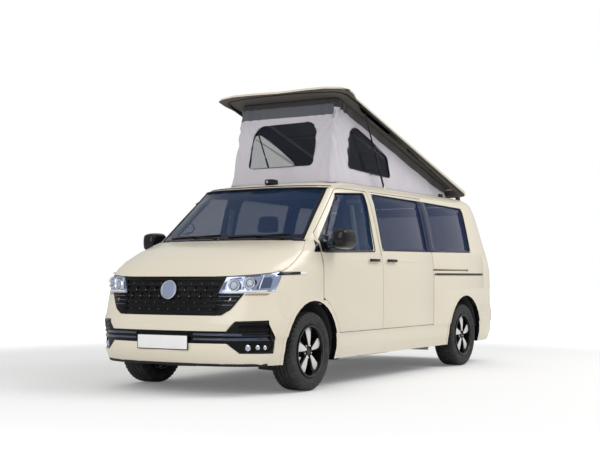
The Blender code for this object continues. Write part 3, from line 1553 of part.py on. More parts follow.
def pop_ring(height_share, inset_share):
    inset = inset_share * POP_WALL
    half = plan_half(POP_HALF_WIDTH - inset, POP_FRONT + inset, POP_REAR - inset,
                     (POP_NOSE_BOW, POP_TAIL_BOW), (3, TAIL_SQUARENESS))
    return closed_ring(half, POP_UNDERSIDE + height_share * POP_WALL)


def make_pop_top():
    """The roof panel: a recess over the canvas, grooves for the struts, and its lugs."""
    piece = loft("pop_top", [pop_ring(up, inset) for up, inset in POP_RING_SHARES])
    below = POP_UNDERSIDE - OVERRUN
    cut(piece, box((-POP_RECESS_HALF_WIDTH, POP_RECESS_HALF_WIDTH),
                   (CANVAS_FRONT - SHUT_GAP, CANVAS_REAR + POP_RECESS_MARGIN),
                   (below, POP_UNDERSIDE + POP_RECESS)))
    head = POP_HINGE - STRUT_HEAD_ARM
    for side in (1, -1):
        cut(piece, box(span(side, GROOVE_INNER, GROOVE_OUTER), (head - OVERRUN, STRUT_FOOT + OVERRUN),
                       (below, POP_UNDERSIDE + GROOVE_DEPTH)))
        join(piece, box(strut_plate_xs(side), around(head, STRUT_PLATE_REACH),
                        (POP_HINGE_HEIGHT, POP_UNDERSIDE + GROOVE_DEPTH + NOTCH_CLEARANCE)))
        join(piece, box(span(side, POP_LUG_X + SEAT_GAP, POP_LUG_X + SEAT_GAP + POP_LUG_WIDTH),
                        around(POP_HINGE, POP_LUG_REACH),
                        (POP_HINGE_HEIGHT - POP_LUG_DROP, POP_UNDERSIDE + POP_LUG_DROP)))
    return raised(piece)


def canvas_wedge(inset, foot, overrun):
    """The tent's form drawn in by an inset: level below, sloping with the panel above."""
    ceiling = POP_UNDERSIDE + POP_RECESS - SEAT_GAP + overrun
    wide = CANVAS_HALF_WIDTH - inset
    narrow = CANVAS_TOP_HALF_WIDTH - inset
    front, rear = CANVAS_FRONT + inset, CANVAS_REAR - inset
    top_front = CANVAS_TOP_FRONT + inset
    bottom = [(wide, front, foot), (wide, rear, foot), (-wide, rear, foot), (-wide, front, foot)]
    front_head = raised_plane(top_front, ceiling)
    rear_head = raised_plane(rear, ceiling)
    top = [(narrow, top_front, front_head), (wide, rear, rear_head), (-wide, rear, rear_head),
           (-narrow, top_front, front_head)]
    return loft("tent", [[(x, along(s), z) for x, s, z in ring] for ring in (bottom, top)])


def make_canvas():
    """The tent wall: closed cloth between the roof and the raised panel, open at both."""
    foot = ROOF_HEIGHT + SEAT_GAP
    piece = canvas_wedge(0, foot, 0)
    cut(piece, canvas_wedge(CANVAS_WALL, foot - OVERRUN, OVERRUN))
    return piece


def strut_line(side):
    """The strut's foot pin, its direction to the panel's pin, and its length."""
    head_s, head_z = raised_point(POP_HINGE - STRUT_HEAD_ARM, POP_HINGE_HEIGHT + STRUT_HEAD_RISE)
    foot = Vector((side * STRUT_X, along(STRUT_FOOT), STRUT_FOOT_HEIGHT))
    head = Vector((side * STRUT_X, along(head_s), head_z))
    line = head - foot
    return foot, line.normalized(), line.length


def strut_eye(side, middle, radius):
    reach = Vector((STRUT_EYE_HALF_WIDTH, 0, 0))
    return bar(radius, middle - reach, middle + reach, SMALL_STEPS)


def make_strut_cylinder(side):
    foot, line, _ = strut_line(side)
    steps = SMALL_STEPS - CORNER_STEPS - 1
    piece = bar(STRUT_RADIUS, foot, foot + line * STRUT_CYLINDER, steps)
    join(piece, strut_eye(side, foot, STRUT_EYE_RADIUS))
    cut(piece, bar(ROD_RADIUS + ROD_CLEARANCE, foot + line * BORE_START,
                   foot + line * (STRUT_CYLINDER + OVERRUN), steps))
    return piece


def make_strut_rod(side):
    foot, line, reach = strut_line(side)
    steps = SMALL_STEPS - CORNER_STEPS - 1
    piece = bar(ROD_RADIUS, foot + line * (reach - STRUT_ROD), foot + line * reach, steps)
    join(piece, strut_eye(side, foot + line * reach, ROD_EYE_RADIUS))
    return piece


# Cabin


def dash_outline():
    back = FIREWALL_PLACE + FIREWALL_WALL + SEAT_GAP
    shelf = FIREWALL_HEAD + SEAT_GAP
    face = spread(DASH_SHARES, (DASH_FRONT, DASH_REAR), (DASH_FOOT, DASH_HEAD))
    return [(back, DASH_FOOT + LUG_HEIGHT)] + face + [(DASH_FRONT, shelf), (back, shelf)]


def make_dashboard():
    piece = side_prism(dash_outline(), (-DASH_HALF_WIDTH, DASH_HALF_WIDTH))
    keep(piece, inner_form())
    return piece


def make_steering_wheel():
    """Rim, spokes, boss and column, tilted back from the dashboard."""
    bpy.ops.mesh.primitive_torus_add(major_segments=SMALL_STEPS + TAIL_STEPS,
                                     minor_segments=NOSE_STEPS, major_radius=STEER_RADIUS,
                                     minor_radius=STEER_GRIP)
    piece = bpy.context.active_object
    spokes = ((STEER_RADIUS, 0), (-STEER_RADIUS, 0), (0, -STEER_RADIUS))
    for x, y in spokes:
        low_x, high_x = sorted((x, 0)) if x else around(0, STEER_SPOKE_HALF_WIDTH)
        low_y, high_y = sorted((y, 0)) if y else around(0, STEER_SPOKE_HALF_WIDTH)
        join(piece, box((low_x, high_x), (low_y + LENGTH / 2, high_y + LENGTH / 2),
                        around(0, STEER_SPOKE_HALF_DEPTH)))
    origin = Vector((0, 0, 0))
    axis = Vector((0, 0, 1))
    join(piece, bar(STEER_BOSS, origin - axis * STEER_BOSS_DEPTH / 2,
                    origin + axis * STEER_BOSS_DEPTH / 2, SMALL_STEPS))
    join(piece, bar(STEER_COLUMN, origin - axis * STEER_COLUMN_LENGTH, origin, SMALL_STEPS))
    lean = Matrix.Rotation(-math.radians(STEER_LEAN), 4, "X")
    piece.data.transform(Matrix.Translation((STEER_X, along(STEER_PLACE), STEER_HEIGHT)) @ lean)
    cut(piece, full_side(dash_outline(), SEAT_GAP))
    return piece


def pad(shares, stretch, heights, xs):
    """A rounded cushion from a side-view quad."""
    return side_prism(rounded(spread(shares, stretch, heights), PAD_RADIUS), xs)


def make_seat(x):
    """A front seat: cushion, back, headrest on its post, and pedestal."""
    stretch, heights = (SEAT_FRONT, SEAT_REAR), (SEAT_FOOT, SEAT_HEAD)
    piece = pad(SEAT_PAD_SHARES, stretch, heights, around(x, SEAT_HALF_WIDTH))
    join(piece, pad(SEAT_BACK_SHARES, stretch, heights, around(x, SEAT_HALF_WIDTH)))
    join(piece, box(around(x, HEADREST_POST_HALF_WIDTH), HEADREST_POST, HEADREST_POST_STRETCH))
    join(piece, pad(HEADREST_SHARES, stretch, heights, around(x, HEADREST_HALF_WIDTH)))
    join(piece, box(around(x, PEDESTAL_HALF_WIDTH), PEDESTAL_STRETCH,
                    (FLOOR_TOP + SEAT_GAP, PEDESTAL_HEAD)))
    return piece


def make_bench():
    """The rear bench: cushion, back and box."""
    stretch, heights = (BENCH_FRONT, BENCH_REAR), (BENCH_FOOT, BENCH_HEAD)
    low, high = BENCH_SPAN
    piece = pad(BENCH_PAD_SHARES, stretch, heights, BENCH_SPAN)
    join(piece, pad(BENCH_BACK_SHARES, stretch, heights, BENCH_SPAN))
    join(piece, box((low + BENCH_BASE_INSET, high - BENCH_BASE_INSET), BENCH_BASE_STRETCH,
                    (FLOOR_TOP + SEAT_GAP, BENCH_BASE_HEAD)))
    return piece


def make_galley():
    return bevelled(box(GALLEY_SPAN, GALLEY_STRETCH, (FLOOR_TOP + SEAT_GAP, GALLEY_HEAD)),
                    GALLEY_RADIUS)


def make_mirror(side):
    """Arm and head, carried by the front door at the foot of its window."""
    piece = bevelled(box(span(side, *MIRROR_SPAN), MIRROR_STRETCH, MIRROR_HEIGHTS), MIRROR_RADIUS)
    arm_outer = sum(MIRROR_SPAN) / 2
    join(piece, box(span(side, MIRROR_ARM_INNER, arm_outer), MIRROR_ARM_STRETCH,
                    MIRROR_ARM_HEIGHTS))
    base = box(span(side, MIRROR_BASE_INNER, HALF_WIDTH + MIRROR_BASE_RISE), MIRROR_BASE_STRETCH,
               MIRROR_BASE_HEIGHTS)
    keep(base, hull(-MIRROR_BASE_RISE))
    join(piece, base)
    cut(piece, hull(GLASS_SET - SEAT_GAP))
    return piece


# The whole van


def hinge_pivot(x, place, height):
    return Vector((x, along(place), height))


def make_side_nodes(word, side):
    """The pieces that each side has."""
    node(make_headlamp(side), "headlamp_" + word, "clear_lens")
    node(make_wing(side), "wing_" + word, "cream_paint")
    node(make_door(side), "door_" + word, "cream_paint",
         hinge_pivot(side * DOOR_HINGE_X, DOOR_HINGE, DOOR_HINGE_HEIGHTS[0]))
    node(make_side_panel(side), "side_panel_" + word, "cream_paint")
    windows = {"door": door_window(), "middle": slider_window(), "quarter": quarter_window()}
    for place, outline in windows.items():
        node(make_side_glass(outline, side), place + "_glass_" + word, "tinted_glass")
    node(make_tail_lamp(side), "tail_lamp_" + word, "red_lens")
    node(make_mirror(side), "mirror_" + word, "gloss_black")
    node(make_knuckle(side), "knuckle_" + word, "cast_metal",
         hinge_pivot(side * KINGPIN_OFFSET, FRONT_OVERHANG, TYRE_RADIUS))
    for end, place in zip(("front", "rear"), ARCH_PLACES):
        centre = wheel_centre(place, side)
        node(make_tyre(place, side), "tyre_" + end + "_" + word, "tyre_rubber", centre)
        node(make_rim(place, side), "rim_" + end + "_" + word, "alloy", centre)
    node(make_strut_cylinder(side), "strut_cylinder_" + word, "black_plastic",
         hinge_pivot(side * STRUT_X, STRUT_FOOT, STRUT_FOOT_HEIGHT))
    node(make_strut_rod(side), "strut_rod_" + word, "bright_steel")


def make_van():
    for obj in list(bpy.data.objects):
        bpy.data.objects.remove(obj)
    bpy.context.scene.collection.children.link(bpy.data.collections.new("camper_van"))
    node(make_bonnet(), "bonnet", "cream_paint", hinge_pivot(0, BONNET_HINGE, BONNET_HINGE_HEIGHT))
    node(make_grille(), "front_grille", "gloss_black")
    node(make_intake(), "lower_grille", "black_plastic")
    node(make_front_bumper(), "front_bumper", "cream_paint")
    node(make_rear_bumper(), "rear_bumper", "cream_paint")
    node(make_roof(), "roof_frame", "cream_paint")
    node(make_windscreen(), "windscreen", "tinted_glass")
    node(make_scuttle(), "scuttle", "black_plastic")
    node(make_tailgate(), "tailgate", "cream_paint", hinge_pivot(0, GATE_HINGE, GATE_HINGE_HEIGHT))
    node(make_tail_glass(), "tailgate_glass", "tinted_glass")
    node(make_slider(), "sliding_door", "cream_paint")
    node(make_floor(), "floor_pan", "chassis_steel")
    node(make_firewall(), "firewall", "chassis_steel")
    for word, side in SIDES:
        make_side_nodes(word, side)
    node(make_front_subframe(), "front_subframe", "chassis_steel")
    node(make_rear_axle(), "rear_axle", "chassis_steel")
    node(make_tank(), "fuel_tank", "black_plastic")
    node(make_exhaust(), "exhaust", "cast_metal")
    node(make_engine(), "engine", "cast_metal")
    node(make_pop_top(), "pop_top", "roof_shell", hinge_pivot(0, POP_HINGE, POP_HINGE_HEIGHT))
    node(make_canvas(), "canvas", "canvas")
    node(make_dashboard(), "dashboard", "trim_plastic")
    node(make_steering_wheel(), "steering_wheel", "trim_plastic")
    node(make_seat(SEAT_X), "seat_left", "seat_cloth")
    node(make_seat(-SEAT_X), "seat_right", "seat_cloth")
    node(make_bench(), "rear_bench", "seat_cloth")
    node(make_galley(), "galley_unit", "cabinet_board")


make_van()
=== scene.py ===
"""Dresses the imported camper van: camera, studio, finishes and the detail that the solids leave out."""

import json
import logging
import math
from collections.abc import Callable, Iterator
from contextlib import contextmanager
from dataclasses import dataclass
from enum import Enum

import bpy
from mathutils import Matrix, Vector
from mathutils.bvhtree import BVHTree

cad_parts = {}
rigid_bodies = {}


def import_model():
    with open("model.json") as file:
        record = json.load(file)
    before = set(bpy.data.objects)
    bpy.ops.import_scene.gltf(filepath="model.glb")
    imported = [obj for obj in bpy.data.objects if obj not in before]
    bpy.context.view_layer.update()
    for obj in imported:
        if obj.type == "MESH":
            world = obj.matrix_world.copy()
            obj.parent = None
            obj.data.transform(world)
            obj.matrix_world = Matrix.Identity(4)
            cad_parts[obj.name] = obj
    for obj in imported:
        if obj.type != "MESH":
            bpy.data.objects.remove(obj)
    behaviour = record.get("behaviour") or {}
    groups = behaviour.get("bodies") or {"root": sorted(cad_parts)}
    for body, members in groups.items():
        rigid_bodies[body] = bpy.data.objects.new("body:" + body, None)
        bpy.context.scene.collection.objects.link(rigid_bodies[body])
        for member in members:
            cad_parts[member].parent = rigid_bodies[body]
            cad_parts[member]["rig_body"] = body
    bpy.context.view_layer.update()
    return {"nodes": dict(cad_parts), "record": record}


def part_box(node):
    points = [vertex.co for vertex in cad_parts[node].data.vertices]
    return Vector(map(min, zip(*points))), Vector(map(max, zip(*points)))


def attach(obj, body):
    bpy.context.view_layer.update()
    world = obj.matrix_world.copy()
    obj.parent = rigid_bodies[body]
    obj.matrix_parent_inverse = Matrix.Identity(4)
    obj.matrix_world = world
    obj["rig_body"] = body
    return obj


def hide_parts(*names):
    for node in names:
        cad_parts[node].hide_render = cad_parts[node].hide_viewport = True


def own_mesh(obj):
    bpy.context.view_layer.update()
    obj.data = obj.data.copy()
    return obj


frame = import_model()

LOG = logging.getLogger("camper_van")

# The van's frame: X to its left, Y from nose to tail, Z up, the ground at zero
LENGTH = 5.304
NOSE = -LENGTH / 2

# Wheels and joints, as the part has them
TYRE_RADIUS = 0.345
HALF_TRACK = 0.814
AXLES = {"front": 0.909, "rear": 4.309}
POP_HINGE = (4.900, 1.935)
POP_ANGLE = math.radians(15.6)

RGB = tuple[float, float, float]
Point = tuple[float, float]
Point3 = tuple[float, float, float]


def along(place: float) -> float:
    """The Y of a place given as a distance behind the nose."""
    return place + NOSE


def spot_at(x: float, place: float, height: float) -> Vector:
    """The point at X, a place behind the nose and a height."""
    return Vector((x, along(place), height))


class Side(Enum):
    """The two sides of the van, by the sign of X."""

    LEFT = 1
    RIGHT = -1

    @property
    def word(self) -> str:
        """The side's name in lower case, as the nodes have it."""
        return self.name.lower()


# Shader maths


class Signal:
    """A socket of a material's tree that can be used in expressions."""

    def __init__(self, graph: "Graph", socket: bpy.types.NodeSocket) -> None:
        """Keep the graph and the socket."""
        self.graph = graph
        self.socket = socket

    def _math(self, operation: str, *values: "Signal | float") -> "Signal":
        """One Math node on the given values."""
        return self.graph.node("ShaderNodeMath", {"operation": operation}, dict(enumerate(values)))

    def __add__(self, other: "Signal | float") -> "Signal":
        """Sum."""
        return self._math("ADD", self, other)

    def __rsub__(self, other: "Signal | float") -> "Signal":
        """Difference from a number."""
        return self._math("SUBTRACT", other, self)

    def __mul__(self, other: "Signal | float") -> "Signal":
        """Product."""
        return self._math("MULTIPLY", self, other)

    def __pow__(self, other: "Signal | float") -> "Signal":
        """Power."""
        return self._math("POWER", self, other)

    __radd__ = __add__
    __rmul__ = __mul__

    def wave(self) -> "Signal":
        """Sine."""
        return self._math("SINE", self)

    def step(self, low: float, high: float) -> "Signal":
        """A smooth step from 0 at low to 1 at high."""
        return self.graph.node("ShaderNodeMapRange", {"interpolation_type": "SMOOTHSTEP"},
                               {"Value": self, "From Min": low, "From Max": high})


class Graph:
    """A material and the nodes that feed its one Principled shader."""

    def __init__(self, name: str) -> None:
        """Start a material with a Principled shader alone."""
        self.material = bpy.data.materials.new(name)
        self.material.use_nodes = True
        self.tree = self.material.node_tree
        self.shader = self.tree.nodes["Principled BSDF"]

    def node(self, kind: str, settings: dict | None = None, values: dict | None = None,
             output: int | str = 0) -> Signal:
        """Add a node.

        Args:
            kind: the node's type.
            settings: its properties, set before its sockets.
            values: numbers, colours or signals for its inputs, by name or index.
            output: which of its outputs to return.
        Returns:
            The chosen output.
        """
        made = self.tree.nodes.new(kind)
        for key, value in (settings or {}).items():
            setattr(made, key, value)
        for key, value in (values or {}).items():
            self.feed(made.inputs[key], value)
        return Signal(self, made.outputs[output])

    def feed(self, socket: bpy.types.NodeSocket, value: object) -> None:
        """Link a signal to a socket, or set its value."""
        if isinstance(value, Signal):
            self.tree.links.new(value.socket, socket)
        elif isinstance(value, tuple) and len(value) == 3 and socket.type == "RGBA":
            socket.default_value = (*value, 1)
        else:
            socket.default_value = value

    def set(self, **values: object) -> None:
        """Feed the Principled shader's sockets, named with underscores for spaces."""
        for key, value in values.items():
            self.feed(self.shader.inputs[key.replace("_", " ")], value)

    def place(self, scale: Point3 = (1, 1, 1), turn: Point3 = (0, 0, 0)) -> Signal:
        """Object coordinates, scaled and turned."""
        where = self.node("ShaderNodeTexCoord", output="Object")
        return self.node("ShaderNodeMapping", {}, {"Vector": where, "Scale": scale, "Rotation": turn})

    def axes(self) -> tuple[Signal, Signal, Signal]:
        """Object X, Y and Z as three signals."""
        split = self.tree.nodes.new("ShaderNodeSeparateXYZ")
        self.feed(split.inputs[0], self.node("ShaderNodeTexCoord", output="Object"))
        return tuple(Signal(self, out) for out in split.outputs)

    def noise(self, scale: float, detail: float = 3, where: Signal | None = None) -> Signal:
        """Noise from 0 to 1 over the piece."""
        return self.node("ShaderNodeTexNoise", {}, {"Vector": where or self.place(), "Scale": scale,
                                                    "Detail": detail})

    def mix(self, share: Signal | float, first: RGB | Signal, second: RGB | Signal) -> Signal:
        """Two colours mixed by a share."""
        made = self.tree.nodes.new("ShaderNodeMix")
        made.data_type = "RGBA"
        self.feed(made.inputs["Factor"], share)
        colours = [i for i in made.inputs if i.type == "RGBA"]
        self.feed(colours[0], first)
        self.feed(colours[1], second)
        return Signal(self, next(o for o in made.outputs if o.type == "RGBA"))

    def bump(self, height: Signal, distance: float, strength: float = 1) -> None:
        """Drive the shader's normal by a height."""
        self.set(Normal=self.node("ShaderNodeBump", {}, {"Height": height, "Distance": distance,
                                                         "Strength": strength}))


# Finishes


def shaded(colour: RGB, share: float) -> RGB:
    """A colour made darker or lighter by a share."""
    return tuple(c * share for c in colour)


@dataclass(frozen=True)
class Paint:
    """Body paint under a clear coat, with a trace of orange peel."""

    name: str
    colour: RGB
    roughness: float = 0.32
    metallic: float = 0.0

    def build(self) -> bpy.types.Material:
        """Make the material."""
        graph = Graph(self.name)
        drift = graph.noise(1.3, 2)
        graph.set(Base_Color=graph.mix(drift, self.colour, shaded(self.colour, 0.965)), Metallic=self.metallic,
                  Roughness=graph.noise(40, 2) * 0.06 + (self.roughness - 0.03),
                  Coat_Weight=0.35, Coat_Roughness=0.12)
        graph.bump(graph.noise(420, 2), 0.00012, 0.5)
        return graph.material


@dataclass(frozen=True)
class Moulding:
    """Moulded plastic: a fine grain, and paler patches at random."""

    name: str
    colour: RGB
    roughness: float = 0.5
    grain: float = 900
    depth: float = 0.0002
    coat: float = 0.0
    specular: float = 0.22

    def build(self) -> bpy.types.Material:
        """Make the material."""
        graph = Graph(self.name)
        speck = graph.noise(self.grain, 3)
        patch = graph.noise(5, 2)
        lighter = tuple(min(c * 1.25 + 0.004, 1) for c in self.colour)
        graph.set(Base_Color=graph.mix(patch * 0.6, self.colour, lighter),
                  Roughness=speck * 0.12 + (self.roughness - 0.06), Coat_Weight=self.coat,
                  Coat_Roughness=0.05, Specular_IOR_Level=self.specular)
        graph.bump(speck, self.depth, 0.6)
        return graph.material


@dataclass(frozen=True)
class Metal:
    """Cast, brushed or bright metal."""

    name: str
    colour: RGB
    roughness: float = 0.3
    grain: float = 300

    def build(self) -> bpy.types.Material:
        """Make the material."""
        graph = Graph(self.name)
        speck = graph.noise(self.grain, 4)
        graph.set(Base_Color=graph.mix(speck * 0.5, self.colour, shaded(self.colour, 0.86)),
                  Metallic=1.0, Roughness=speck * 0.14 + (self.roughness - 0.07))
        graph.bump(speck, 0.0001, 0.4)
        return graph.material


@dataclass(frozen=True)
class Glass:
    """Tinted glazing or a clear lens, seen through by its alpha."""

    name: str
    colour: RGB
    alpha: float
    roughness: float = 0.03
    specular: float = 0.28

    def build(self) -> bpy.types.Material:
        """Make the material."""
        graph = Graph(self.name)
        film = graph.noise(2.5, 2)
        edge = graph.node("ShaderNodeLayerWeight", {}, {"Blend": 0.25}, "Facing")
        graph.set(Base_Color=graph.mix(film * 0.4, self.colour, shaded(self.colour, 1.3)),
                  Roughness=film * 0.02 + self.roughness, Alpha=edge * (0.9 - self.alpha) + self.alpha,
                  Specular_IOR_Level=self.specular)
        return graph.material


@dataclass(frozen=True)
class Rubber:
    """Tyre rubber with a dusty bloom."""

    name: str
    colour: RGB

    def build(self) -> bpy.types.Material:
        """Make the material."""
        graph = Graph(self.name)
        dust = graph.noise(14, 5)
        graph.set(Base_Color=graph.mix(dust.step(0.45, 0.75), self.colour,
                                       tuple(c * 1.9 + 0.008 for c in self.colour)),
                  Roughness=dust * 0.16 + 0.62)
        graph.bump(graph.noise(700, 3), 0.0002, 0.5)
        return graph.material


@dataclass(frozen=True)
class Cloth:
    """Woven cloth: two crossed sets of threads, and a nap that softens the colour."""

    name: str
    colour: RGB
    pitch: float = 0.0016
    sheen: float = 0.25
    roughness: float = 0.9

    def build(self) -> bpy.types.Material:
        """Make the material."""
        graph = Graph(self.name)
        x, y, z = graph.axes()
        turns = 2 * math.pi / self.pitch
        weft = (z * turns).wave() * 0.5 + 0.5
        warp = ((x + y) * turns).wave() * 0.5 + 0.5
        threads = weft * warp + (1 - weft) * (1 - warp)
        fade = graph.noise(3.0, 4)
        tone = graph.mix(threads * 0.5, self.colour, shaded(self.colour, 0.78))
        graph.set(Base_Color=graph.mix(fade.step(0.35, 0.75) * 0.35, tone,
                                       tuple(min(c * 1.12, 1) for c in self.colour)),
                  Roughness=threads * 0.08 + (self.roughness - 0.04), Sheen_Weight=self.sheen,
                  Sheen_Roughness=0.5)
        graph.bump(threads, self.pitch * 0.22, 0.5)
        return graph.material


@dataclass(frozen=True)
class Board:
    """Laminated cabinet board with a faint wood figure."""

    name: str
    colour: RGB

    def build(self) -> bpy.types.Material:
        """Make the material."""
        graph = Graph(self.name)
        figure = graph.noise(9, 6, graph.place(scale=(1, 1, 9)))
        graph.set(Base_Color=graph.mix(figure, self.colour, shaded(self.colour, 0.82)),
                  Roughness=figure * 0.1 + 0.42)
        graph.bump(figure, 0.0001, 0.3)
        return graph.material


IVORY: RGB = (0.78, 0.715, 0.575)
FINISHES = {
    f.name: f
    for f in (
        Paint("cream_paint", IVORY),
        Paint("roof_shell", IVORY, 0.36),
        Moulding("gloss_black", (0.006, 0.006, 0.008), 0.16, 300, 0.00005, 0.15),
        Moulding("black_plastic", (0.010, 0.010, 0.011), 0.52),
        Moulding("grille_black", (0.0035, 0.0035, 0.0045), 0.38, 300, 0.00005, 0.0, 0.14),
        Moulding("roof_under", (0.115, 0.105, 0.098), 0.75, 500, 0.0002),
        Moulding("trim_plastic", (0.045, 0.046, 0.050), 0.62, 500, 0.0003),
        Glass("tinted_glass", (0.012, 0.036, 0.100), 0.26),
        Glass("privacy_glass", (0.026, 0.040, 0.098), 0.47),
        Moulding("pillar_glass", (0.014, 0.022, 0.056), 0.08, 300, 0.00005, 0.1),
        Glass("window_film", (0.020, 0.024, 0.040), 0.20, 0.12),
        Moulding("roof_black", (0.010, 0.009, 0.009), 0.45, 500, 0.0002),
        # The grey band and the dark band are painted shadow: the roof's shade on the fabric walls. The dark cloth is
        # also the real colour of the window hems, the lining and the bows.
        Cloth("band_grey", (0.105, 0.112, 0.130)),
        Cloth("band_dark", (0.040, 0.038, 0.038)),
        Cloth("lining_cloth", (0.055, 0.052, 0.060)),
        Moulding("seam_thread", (0.30, 0.30, 0.31), 0.8, 2000, 0.0003),
        Metal("lamp_chrome", (0.42, 0.49, 0.68), 0.20),
        Glass("lamp_glass", (0.42, 0.50, 0.66), 0.6, 0.05),
        # Painted shade: dark plates for the headlamp's gaps round its eyes, which lie in shade.
        Moulding("lamp_shade", (0.060, 0.080, 0.150), 0.22, 300, 0.00005, 0.4),
        Moulding("lamp_white", (0.82, 0.85, 0.90), 0.15, 300, 0.00005, 0.5),
        Moulding("amber_lens", (0.32, 0.26, 0.20), 0.2, 300, 0.0001, 0.4),
        Moulding("slat_blue", (0.045, 0.060, 0.095), 0.28, 300, 0.00008, 0.4),
        Moulding("plate_white", (0.78, 0.78, 0.78), 0.42, 300, 0.00005),
        Moulding("mint_trim", (0.50, 0.60, 0.56), 0.55, 500, 0.0002),
        Glass("clear_lens", (0.80, 0.86, 0.93), 0.16),
        Moulding("red_lens", (0.40, 0.008, 0.008), 0.12, 200, 0.0002, 0.5),
        Rubber("tyre_rubber", (0.017, 0.016, 0.016)),
        Metal("alloy", (0.62, 0.63, 0.65), 0.28),
        Moulding("petal_silver", (0.66, 0.64, 0.62), 0.55, 300, 0.00005, 0.1),
        Moulding("interior_trim", (0.060, 0.062, 0.070), 0.7, 500, 0.0003),
        Metal("bright_steel", (0.70, 0.71, 0.73), 0.18),
        Metal("cast_metal", (0.32, 0.32, 0.33), 0.5, 120),
        Metal("chassis_steel", (0.10, 0.10, 0.105), 0.6, 90),
        Cloth("canvas", (0.60, 0.575, 0.625)),
        Cloth("seat_cloth", (0.060, 0.062, 0.070), 0.0022),
        Board("cabinet_board", (0.55, 0.50, 0.42)),
    )
}
_built: dict[str, bpy.types.Material] = {}


def finish(name: str) -> bpy.types.Material:
    """The material of a finish, made once."""
    if name not in _built:
        _built[name] = FINISHES[name].build()
    return _built[name]


# Working with objects


def alone(*objs: bpy.types.Object) -> None:
    """Select just these objects, the first one active."""
    bpy.ops.object.select_all(action="DESELECT")
    for obj in objs:
        obj.select_set(True)
    bpy.context.view_layer.objects.active = objs[0]


@contextmanager
def editing() -> Iterator[None]:
    """Edit mode with the whole mesh selected, and object mode again afterwards."""
    bpy.ops.object.mode_set(mode="EDIT")
    bpy.ops.mesh.select_all(action="SELECT")
    yield
    bpy.ops.object.mode_set(mode="OBJECT")


def modifier(obj: bpy.types.Object, kind: str, **settings: object) -> bpy.types.Object:
    """Add a modifier with settings and apply it."""
    alone(obj)
    step = obj.modifiers.new(kind.lower(), kind)
    for key, value in settings.items():
        setattr(step, key, value)
    bpy.ops.object.modifier_apply(modifier=step.name)
    return obj


def smooth(obj: bpy.types.Object, degrees: float = 35) -> bpy.types.Object:
    """Shade smooth up to an angle."""
    alone(obj)
    bpy.ops.object.shade_smooth_by_angle(angle=math.radians(degrees))
    return obj


def dressed(obj: bpy.types.Object, *finishes: str) -> bpy.types.Object:
    """Give an object its finishes, in the order of its material slots."""
    kinds = [face.material_index for face in obj.data.polygons]
    obj.data.materials.clear()
    for name in finishes:
        obj.data.materials.append(finish(name))
    for face, kind in zip(obj.data.polygons, kinds):
        face.material_index = min(kind, len(finishes) - 1)
    return obj


def settled(obj: bpy.types.Object, name: str, body: str, *finishes: str) -> bpy.types.Object:
    """Name a finished piece, put its place in its mesh, dress it and let it ride on its body."""
    alone(obj)
    bpy.ops.object.transform_apply(location=True, rotation=True, scale=True)
    obj.name = name
    obj.data.name = name
    if finishes:
        dressed(obj, *finishes)
    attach(obj, body)
    LOG.info("%s: %d faces on %s", name, len(obj.data.polygons), body)
    return obj


# Panels: the solids' own shapes with merged faces, rounded edges and smooth shading


@dataclass
class Panels:
    """Copies of the solids that are merged, rounded and shaded, and stand for them."""

    rounding: float = 0.003
    merge: float = 0.00002
    arch_reach: float = 0.452
    lamp_wrap: float = 5.070
    cheek: float = 0.5
    roof_from: float = 1.6
    belt: Point = (1.215, 1.81)
    glazed: Point = (1.09, 4.62)
    hollow: tuple[str, ...] = ("door_left", "door_right", "sliding_door", "side_panel", "wing", "front_bumper",
                               "rear_bumper", "roof_frame", "tailgate")

    def copy(self, node: str) -> bpy.types.Object:
        """A merged copy of a node, with its flat faces joined."""
        source = frame["nodes"][node]
        obj = bpy.data.objects.new(node + "_skin", source.data.copy())
        bpy.context.scene.collection.objects.link(obj)
        alone(obj)
        with editing():
            bpy.ops.mesh.remove_doubles(threshold=self.merge)
            bpy.ops.mesh.dissolve_limited(angle_limit=math.radians(0.3))
            bpy.ops.mesh.select_all(action="DESELECT")
        return obj

    def body_of(self, node: str) -> str:
        """The body that a node rides on."""
        return frame["nodes"][node]["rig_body"]

    def slot_of(self, node: str) -> str:
        """The record's slot of a node."""
        for row in frame["record"]["subparts"]:
            if row["node"] == node:
                return row["material_slot"]
        return "cream_paint"

    def shade_hidden(self, obj: bpy.types.Object) -> None:
        """Darken a painted panel's window reveals, arch edges and inner faces."""
        dressed(obj, "cream_paint", "gloss_black", "interior_trim")
        for face in obj.data.polygons:
            centre, normal = face.center, face.normal
            place = centre.y - NOSE
            side = 1 if centre.x > 0 else -1
            inward = normal.x * side < -0.35 and abs(centre.x) > self.cheek
            if inward or (normal.z < -0.5 and centre.z > self.roof_from):
                face.material_index = 2
            reveal = abs(normal.x) < 0.4 and self.belt[0] < centre.z < self.belt[1] and abs(centre.x) > 0.6
            on_top = normal.z > 0.5 and centre.z > self.roof_from
            if reveal and self.glazed[0] < place < self.glazed[1] and not on_top:
                face.material_index = 1
            for axle in AXLES.values():
                reach = math.hypot(place - axle, centre.z - TYRE_RADIUS)
                if reach < self.arch_reach and abs(normal.x) < 0.6:
                    face.material_index = 1

    def build(self, node: str, rounding: float | None = None, angle: float = 32) -> bpy.types.Object:
        """Make the piece that stands for a node.

        Args:
            node: the node's name.
            rounding: the radius of its edges, or the usual one.
            angle: the angle in degrees up to which it is shaded smooth.
        Returns:
            The new piece.
        """
        obj = self.copy(node)
        modifier(obj, "BEVEL", width=rounding or self.rounding, segments=2, limit_method="ANGLE",
                 angle_limit=math.radians(angle), harden_normals=False)
        smooth(obj, angle)
        slot = self.slot_of(node)
        settled(obj, node + "_skin", self.body_of(node), slot)
        if node.startswith(self.hollow):
            self.shade_hidden(obj)
        if node.startswith("tail_lamp"):
            dressed(obj, "red_lens", "cream_paint")
            paint_faces(obj, 1, lambda f: f.center.y < along(self.lamp_wrap))
        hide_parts(node)
        return obj


# Outlines, plates and bars that follow the solids


def rectangle(low: Point, high: Point) -> tuple[Point, ...]:
    """The outline of a rectangle."""
    return (low, (high[0], low[1]), high, (low[0], high[1]))


